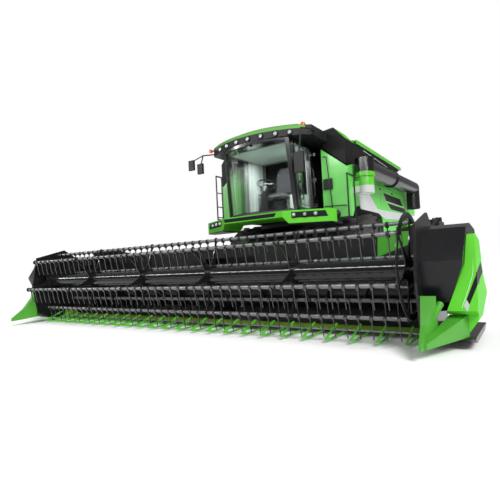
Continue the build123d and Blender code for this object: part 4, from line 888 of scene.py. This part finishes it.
# seat base: bellows between floor and cushion, a box with armrest beside it, and a control stick
baseLook = {"bellows": [(0.0, 2.0105), (0.17, 2.015), (0.16, 2.06), (0.185, 2.10), (0.16, 2.15),
                        (0.185, 2.20), (0.16, 2.25), (0.185, 2.30), (0.16, 2.345), (0.19, 2.375),
                        (0.19, 2.39), (0.0, 2.39)],
            "bellowsPlace": (0, -1.2, 0), "bellowsSides": 36,
            "box": ((-0.40, -1.45, 2.0105), (-0.275, -1.0, 2.44)),
            "armrest": ((-0.395, -1.44, 2.46), (-0.28, -1.05, 2.52)),
            "stem": ((-0.36, -1.3, 2.43), (-0.31, -1.15, 2.47)),
            "stick": [(-0.335, -1.40, 2.51), (-0.335, -1.41, 2.57), (-0.335, -1.40, 2.61)], "stickBend": 0.02,
            "stickSteps": 6, "stickRadius": 0.011,
            "knob": [(0.0, 2.585), (0.024, 2.6), (0.028, 2.63), (0.02, 2.655), (0.0, 2.66)],
            "knobPlace": (-0.335, -1.40, 0), "knobSides": 20, "edge": 0.006}


def makeSeatBase(look):
    forms = [latheForm(look["bellows"], look["bellowsPlace"], alongZ, look["bellowsSides"])]
    forms += [boxForm(*look[part]) for part in ("box", "armrest", "stem")]
    stick = roundPath(look["stick"], look["stickBend"], look["stickSteps"])
    forms.append(tubeForm(stick, look["stickRadius"]))
    forms.append(latheForm(look["knob"], look["knobPlace"], alongZ, look["knobSides"]))
    makePiece("seatBase", forms, "chassis", "darkPlastic", bevel=look["edge"], stands=("cab_seat",))


makeSeatBase(baseLook)
print("seat made")

# cab lining, console and monitor: pairs are the lowest and highest corner of a box
liningLook = {"ceiling": ((-0.73, -2.0, 3.345), (0.73, -0.72, 3.357)),
              "backWall": ((-0.76, -0.692, 2.02), (0.76, -0.682, 2.48)),
              "floorMat": ((-0.6, -1.9, 2.0105), (0.6, -0.70, 2.018)),
              "sideWall": ((0.722, -1.27, 2.03), (0.762, -0.69, 3.34)), "edge": 0.003,
              "monitor": ((0.43, -1.42, 2.50), (0.56, -1.36, 2.86)),
              "console": ((0.33, -1.32, 2.0105), (0.5, -0.9, 2.42)),
              "radioBox": ((0.30, -1.30, 3.20), (0.62, -1.05, 3.345)), "consoleEdge": 0.012,
              "glass": ((0.441, -1.3595, 2.62), (0.549, -1.357, 2.84)), "glassEdge": 0.002}


def makeLining(look):
    lining = [boxForm(*look[part]) for part in ("ceiling", "backWall", "floorMat")]
    lining += bothSides([boxForm(*look["sideWall"])])
    makePiece("cabLining", lining, "chassis", "greyPlastic", bevel=look["edge"])
    console = [boxForm(*look[part]) for part in ("monitor", "console", "radioBox")]
    makePiece("cabConsole", console, "chassis", "greyPlastic", bevel=look["consoleEdge"])
    makePiece("monitorGlass", [boxForm(*look["glass"])], "chassis", "lampLens", bevel=look["glassEdge"])


makeLining(liningLook)

# steering post: column, the wheel's spoke and its hub
postLook = {"column": [(0, -1.88, 2.03), (0, -1.75, 2.6)], "columnRadius": 0.045, "columnSides": 16,
            "spoke": [(-0.17, -1.715, 2.642), (0.17, -1.715, 2.642)], "spokeRadius": 0.012,
            "hub": [(0.0, 0.0), (0.055, 0.0), (0.05, 0.025), (0.0, 0.03)], "hubPlace": (0, -1.715, 2.64)}


def makeSteeringPost(look):
    forms = [tubeForm(look["column"], look["columnRadius"], look["columnSides"]),
             tubeForm(look["spoke"], look["spokeRadius"]), latheForm(look["hub"], look["hubPlace"], alongZ)]
    makePiece("steeringPost", forms, "chassis", "greyPlastic")


makeSteeringPost(postLook)

# panes: the cab leans out and narrows as it rises from its floor, and the windscreen bows forwards
paneLook = {"floorZ": 1.95, "rise": 1.47, "halfWidth": 0.84, "narrowing": 0.04, "frontY": -1.95,
            "leanOut": 0.16, "inset": 0.02, "bow": 0.24, "doorOut": 0.047}


def paneShare(z):
    return (z - paneLook["floorZ"]) / paneLook["rise"]


def windscreenY(x, z):
    # front - lean * share + inset - bow * (1 - (x / half width) squared)
    half = paneLook["halfWidth"] - paneLook["narrowing"] * paneShare(z)
    front = paneLook["frontY"] - paneLook["leanOut"] * paneShare(z) + paneLook["inset"]
    return front - paneLook["bow"] * (1 - (x / half) ** 2)


def doorX(z):
    return paneLook["halfWidth"] + paneLook["doorOut"] - paneLook["narrowing"] * paneShare(z)


# wiper: an arm hangs from its spindle above the pane and holds a level blade
wiperLook = {"armX": (0.05, -0.36, 6), "armZ": (3.355, 3.27, 6), "armOut": 0.03, "armRadius": 0.008,
             "bladeX": (-0.66, -0.06, 9), "bladeZ": 3.255, "bladeOut": 0.014, "bladeRadius": 0.009,
             "sides": 8,
             "spindle": [(0.0, 0.04), (0.028, 0.04), (0.028, -0.03), (0.02, -0.045), (0.0, -0.045)],
             "spindleOut": 0.01, "spindleSides": 20}


def makeWiper(look):
    armX, armZ = np.linspace(*look["armX"]), np.linspace(*look["armZ"])
    arm = [(x, windscreenY(x, z) - look["armOut"], z) for x, z in zip(armX, armZ)]
    bladeZ = look["bladeZ"]
    blade = [(x, windscreenY(x, bladeZ) - look["bladeOut"], bladeZ) for x in np.linspace(*look["bladeX"])]
    topX, topZ = armX[0], armZ[0]
    centre = (topX, windscreenY(topX, topZ) - look["spindleOut"], topZ)
    forms = [tubeForm(arm, look["armRadius"], look["sides"]),
             tubeForm(blade, look["bladeRadius"], look["sides"]),
             latheForm(look["spindle"], centre, alongY, look["spindleSides"])]
    makePiece("wiper", forms, "chassis", "darkPlastic")


makeWiper(wiperLook)

# windscreen seal: two upright edges, then sill and head as half width and Z
sealLook = {"radius": 0.007, "sides": 8, "edgeX": (0.776, 0.734, 7), "edgeZ": (2.06, 3.28, 7),
            "edgeOut": 0.006, "rails": [(0.76, 2.022), (0.72, 3.35)], "railPoints": 17, "railOut": 0.004}


def makeSeal(look):
    edgeX, edgeZ = np.linspace(*look["edgeX"]), np.linspace(*look["edgeZ"])
    edge = [(x, windscreenY(x, z) - look["edgeOut"], z) for x, z in zip(edgeX, edgeZ)]
    paths = [[(-x, y, z) for x, y, z in edge], edge]
    for half, z in look["rails"]:
        across = np.linspace(-half, half, look["railPoints"])
        paths.append([(x, windscreenY(x, z) - look["railOut"], z) for x in across])
    forms = [tubeForm(path, look["radius"], look["sides"]) for path in paths]
    makePiece("windscreenSeal", forms, "chassis", "darkPlastic")


makeSeal(sealLook)

# door: places are Y and Z on its pane; a bar is foot, head, how far it stands out and the slant of its ends
doorLook = {"seal": [(-1.34, 2.1), (-1.34, 3.28), (-1.98, 3.28), (-1.85, 2.1), (-1.34, 2.1)],
            "sealBend": 0.05, "sealRadius": 0.006, "sealSides": 8,
            "bars": [((-1.30, 2.3), (-1.30, 2.9), 0.05, 0.03), ((-1.82, 2.2), (-1.85, 2.45), 0.045, 0.02)],
            "barBend": 0.03, "barRadius": 0.011, "latchY": (-1.895, -1.82), "latchZ": (2.52, 2.57),
            "latchMiddleZ": 2.55, "latchOut": 0.022, "latchEdge": 0.006}


def makeDoorFittings(look):
    inner = [(doorX(z), y, z) for y, z in look["seal"]]
    seal = tubeForm(roundPath(inner, look["sealBend"]), look["sealRadius"], look["sealSides"])
    makePiece("doorSeal", [seal], "door", "darkPlastic")
    bars = []
    for (y0, z0), (y1, z1), out, slant in look["bars"]:
        path = [(doorX(z0), y0, z0), (doorX(z0) + out, y0, z0 + slant),
                (doorX(z1) + out, y1, z1 - slant), (doorX(z1), y1, z1)]
        bars.append(tubeForm(roundPath(path, look["barBend"]), look["barRadius"]))
    makePiece("doorBars", bars, "door", "blackPaint")
    (y0, y1), (z0, z1), x = look["latchY"], look["latchZ"], doorX(look["latchMiddleZ"])
    latch = boxForm((x, y0, z0), (x + look["latchOut"], y1, z1))
    makePiece("doorLatch", [latch], "door", "darkPlastic", bevel=look["latchEdge"])


makeDoorFittings(doorLook)

# roof and mirrors: glass on the three mirrors, a receiver box on the crest, beacons as radius and Z
roofLook = {
    "mirrors": [((0.998, -2.2198, 2.66), (1.162, -2.2172, 3.02)),
                ((-1.575, -2.0498, 3.08), (-1.445, -2.0472, 3.28)),
                ((-1.855, -2.0298, 3.21), (-1.725, -2.0272, 3.41))], "mirrorEdge": 0.001,
    "boxes": [((-0.40, -1.82, 3.765), (-0.08, -1.62, 3.81)), ((-0.34, -1.78, 3.74), (-0.14, -1.66, 3.77))],
    "boxEdge": 0.008, "beaconX": 0.95, "beaconY": -1.75, "beaconSides": 32,
    "beaconRing": [(0.061, 3.6108), (0.078, 3.6108), (0.078, 3.628), (0.070, 3.634), (0.061, 3.634)],
    "domeRadius": 0.0575, "domeLow": 3.6107, "domeShoulder": 3.70, "domeRise": 0.07, "domeSteps": 8,
}


def makeRoofFittings(look):
    glasses = [boxForm(*corners) for corners in look["mirrors"]]
    makePiece("mirrorGlass", glasses, "chassis", "mirrorGlass", bevel=look["mirrorEdge"])
    boxes = [boxForm(*corners) for corners in look["boxes"]]
    makePiece("roofBox", boxes, "chassis", "darkPlastic", bevel=look["boxEdge"])
    places = [(side * look["beaconX"], look["beaconY"], 0) for side in (-1, 1)]
    sides = look["beaconSides"]
    rings = [latheForm(look["beaconRing"], place, alongZ, sides, closed=True) for place in places]
    makePiece("beaconRings", rings, "chassis", "darkPlastic")
    # the dome is a straight wall up to its shoulder, then a quarter of an ellipse
    radius, turn = look["domeRadius"], np.linspace(0, pi / 2, look["domeSteps"])
    wall = [(0.0, look["domeLow"]), (radius, look["domeLow"])]
    top = list(zip(radius * np.cos(turn), look["domeShoulder"] + look["domeRise"] * np.sin(turn)))
    domes = [latheForm(wall + top, place, alongZ, sides) for place in places]
    makePiece("beaconDomes", domes, "chassis", "amberLens", stands=("beacons",))


makeRoofFittings(roofLook)
print("cab fittings made")

# front wall beside the cab: a box, a round cap and a handrail
wallLook = {"box": ((1.09, -1.235, 2.43), (1.29, -1.2005, 2.65)), "capPlace": (1.34, -1.2008, 1.90),
            "capSides": 28, "cap": [(0.0, -0.07), (0.05, -0.06), (0.08, -0.03), (0.09, 0.0), (0.0, 0.0)],
            "rail": [(1.10, -1.205, 2.08), (1.10, -1.25, 2.08), (1.56, -1.25, 2.06), (1.56, -1.205, 2.06)],
            "railBend": 0.03, "railRadius": 0.011, "edge": 0.004}


def makeWallFittings(look):
    cap = latheForm(look["cap"], look["capPlace"], alongY, look["capSides"])
    rail = tubeForm(roundPath(look["rail"], look["railBend"]), look["railRadius"])
    forms = [boxForm(*look["box"]), cap, rail]
    makePiece("frontWallFittings", forms, "chassis", "darkPlastic", bevel=look["edge"])


makeWallFittings(wallLook)

shieldLook = {"place": (0.9, 3.3, 0), "sides": 36,
              "sleeve": [(0.0775, 3.24), (0.088, 3.25), (0.088, 3.43), (0.082, 3.4475), (0.0775, 3.4475)]}


def makeExhaustShield(look):
    sleeve = latheForm(look["sleeve"], look["place"], alongZ, look["sides"], closed=True)
    makePiece("exhaustShield", [sleeve], "chassis", "bareSteel")


makeExhaustShield(shieldLook)

# dust screen: flat rings and round spokes on its outer face, at X backX to faceX
screenLook = {"centreY": 3.65, "centreZ": 2.6, "backX": -1.6625, "faceX": -1.668, "ringWidth": 0.008,
              "rings": (0.05, 0.11, 0.17, 0.23, 0.285), "ringSides": 40, "spokes": 12, "spokeX": -1.6645,
              "spokeReach": (0.05, 0.29), "spokeRadius": 0.003, "spokeSides": 6}


def makeScreenRibs(look):
    y, z, back, face = (look[key] for key in ("centreY", "centreZ", "backX", "faceX"))
    profiles = [[(r, back), (r + look["ringWidth"], back), (r + look["ringWidth"], face), (r, face)]
                for r in look["rings"]]
    forms = [latheForm(profile, (0, y, z), alongX, look["ringSides"], closed=True) for profile in profiles]
    for turn in np.arange(look["spokes"]) * 2 * pi / look["spokes"]:
        path = [(look["spokeX"], y + r * cos(turn), z + r * sin(turn)) for r in look["spokeReach"]]
        forms.append(tubeForm(path, look["spokeRadius"], look["spokeSides"]))
    makePiece("screenRibs", forms, "screen", "bareSteel")


makeScreenRibs(screenLook)

# ladder: rows of narrow teeth on each tread
treadLook = {"treads": 4, "lowestZ": 0.60, "rise": 0.27, "topZ": 0.0303, "x": (1.885, 2.27), "pitch": 0.034,
             "y": (-1.595, -1.465), "toothWidth": 0.012, "toothHeight": 0.004}


def makeTreads(look):
    y0, y1 = look["y"]
    tooth = boxForm((0, y0, 0), (look["toothWidth"], y1, look["toothHeight"]))
    levels = [look["lowestZ"] + look["rise"] * k + look["topZ"] for k in range(look["treads"])]
    places = [(x, 0, z) for z in levels for x in np.arange(*look["x"], look["pitch"])]
    makePiece("ladderTreads", copyForms(tooth, places), "ladder_frame", "bareSteel", smooth=False)


makeTreads(treadLook)
print("outside fittings made")

# stage: a pale floor, a white world that lights the machine less than it shows, a soft sun and two panels
stageLook = {"floorSize": 90, "floorColour": (0.93, 0.93, 0.93), "floorRough": 0.9, "skyStrength": 0.6,
             "mirroredSky": 0.22, "sunStrength": 3.0, "sunSpread": 25, "sunTurn": (46, 6, 52)}
# a ceiling light in the cab, and one long strip high in front that draws a line along the tubes
panelLook = {"cabLight": {"place": (0, -1.6, 3.33), "size": (1.0, 0.5), "power": 42.0, "turn": (0, 0, 0),
                          "mirrored": False, "lights": True},
             "stripLight": {"place": (-8.0, -9.0, 5.2), "size": (40, 0.6), "power": 2200.0,
                            "turn": (45, 0, 0), "mirrored": True, "lights": False}}


def addToScene(name, data):
    thing = bpy.data.objects.new(name, data)
    bpy.context.scene.collection.objects.link(thing)
    return thing


def makeFloor(look):
    size = look["floorSize"]
    mesh = bpy.data.meshes.new("floor")
    corners = [(-size, -size, 0), (size, -size, 0), (size, size, 0), (-size, size, 0)]
    mesh.from_pydata(corners, [], [(0, 1, 2, 3)])
    material = bpy.data.materials.new("floorPaper")
    material.use_nodes = True
    shader = material.node_tree.nodes["Principled BSDF"]
    shader.inputs["Base Color"].default_value = (*look["floorColour"], 1)
    shader.inputs["Roughness"].default_value = look["floorRough"]
    mesh.materials.append(material)
    addToScene("floor", mesh)


def makeWorld(look):
    world = bpy.data.worlds.new("studio")
    bpy.context.scene.world = world
    world.use_nodes = True
    tree = world.node_tree
    sky = tree.nodes["Background"]
    path = addNode(tree, "ShaderNodeLightPath").outputs
    seen = doMath(tree, "MAXIMUM", path["Is Camera Ray"], path["Is Transmission Ray"])
    dimmer = ramp(tree, path["Is Glossy Ray"], 0.0, 1.0, look["skyStrength"], look["mirroredSky"])
    share = doMath(tree, "MULTIPLY", dimmer, doMath(tree, "SUBTRACT", 1.0, seen))
    sky.inputs["Color"].default_value = (1, 1, 1, 1)
    feed(tree, doMath(tree, "ADD", share, seen), sky.inputs["Strength"])


def makeLights(look, panels):
    lamp = bpy.data.lights.new("softSun", "SUN")
    lamp.energy, lamp.angle = look["sunStrength"], radians(look["sunSpread"])
    sun = addToScene("softSun", lamp)
    sun.rotation_euler = [radians(angle) for angle in look["sunTurn"]]
    for label, row in panels.items():
        glow = bpy.data.lights.new(label, "AREA")
        glow.shape, glow.energy = "RECTANGLE", row["power"]
        glow.size, glow.size_y = row["size"]
        panel = addToScene(label, glow)
        panel.location, panel.rotation_euler = row["place"], [radians(angle) for angle in row["turn"]]
        panel.visible_camera = panel.visible_transmission = False
        panel.visible_glossy, panel.visible_diffuse = row["mirrored"], row["lights"]


makeFloor(stageLook)
makeWorld(stageLook)
makeLights(stageLook, panelLook)
print("stage and light set")
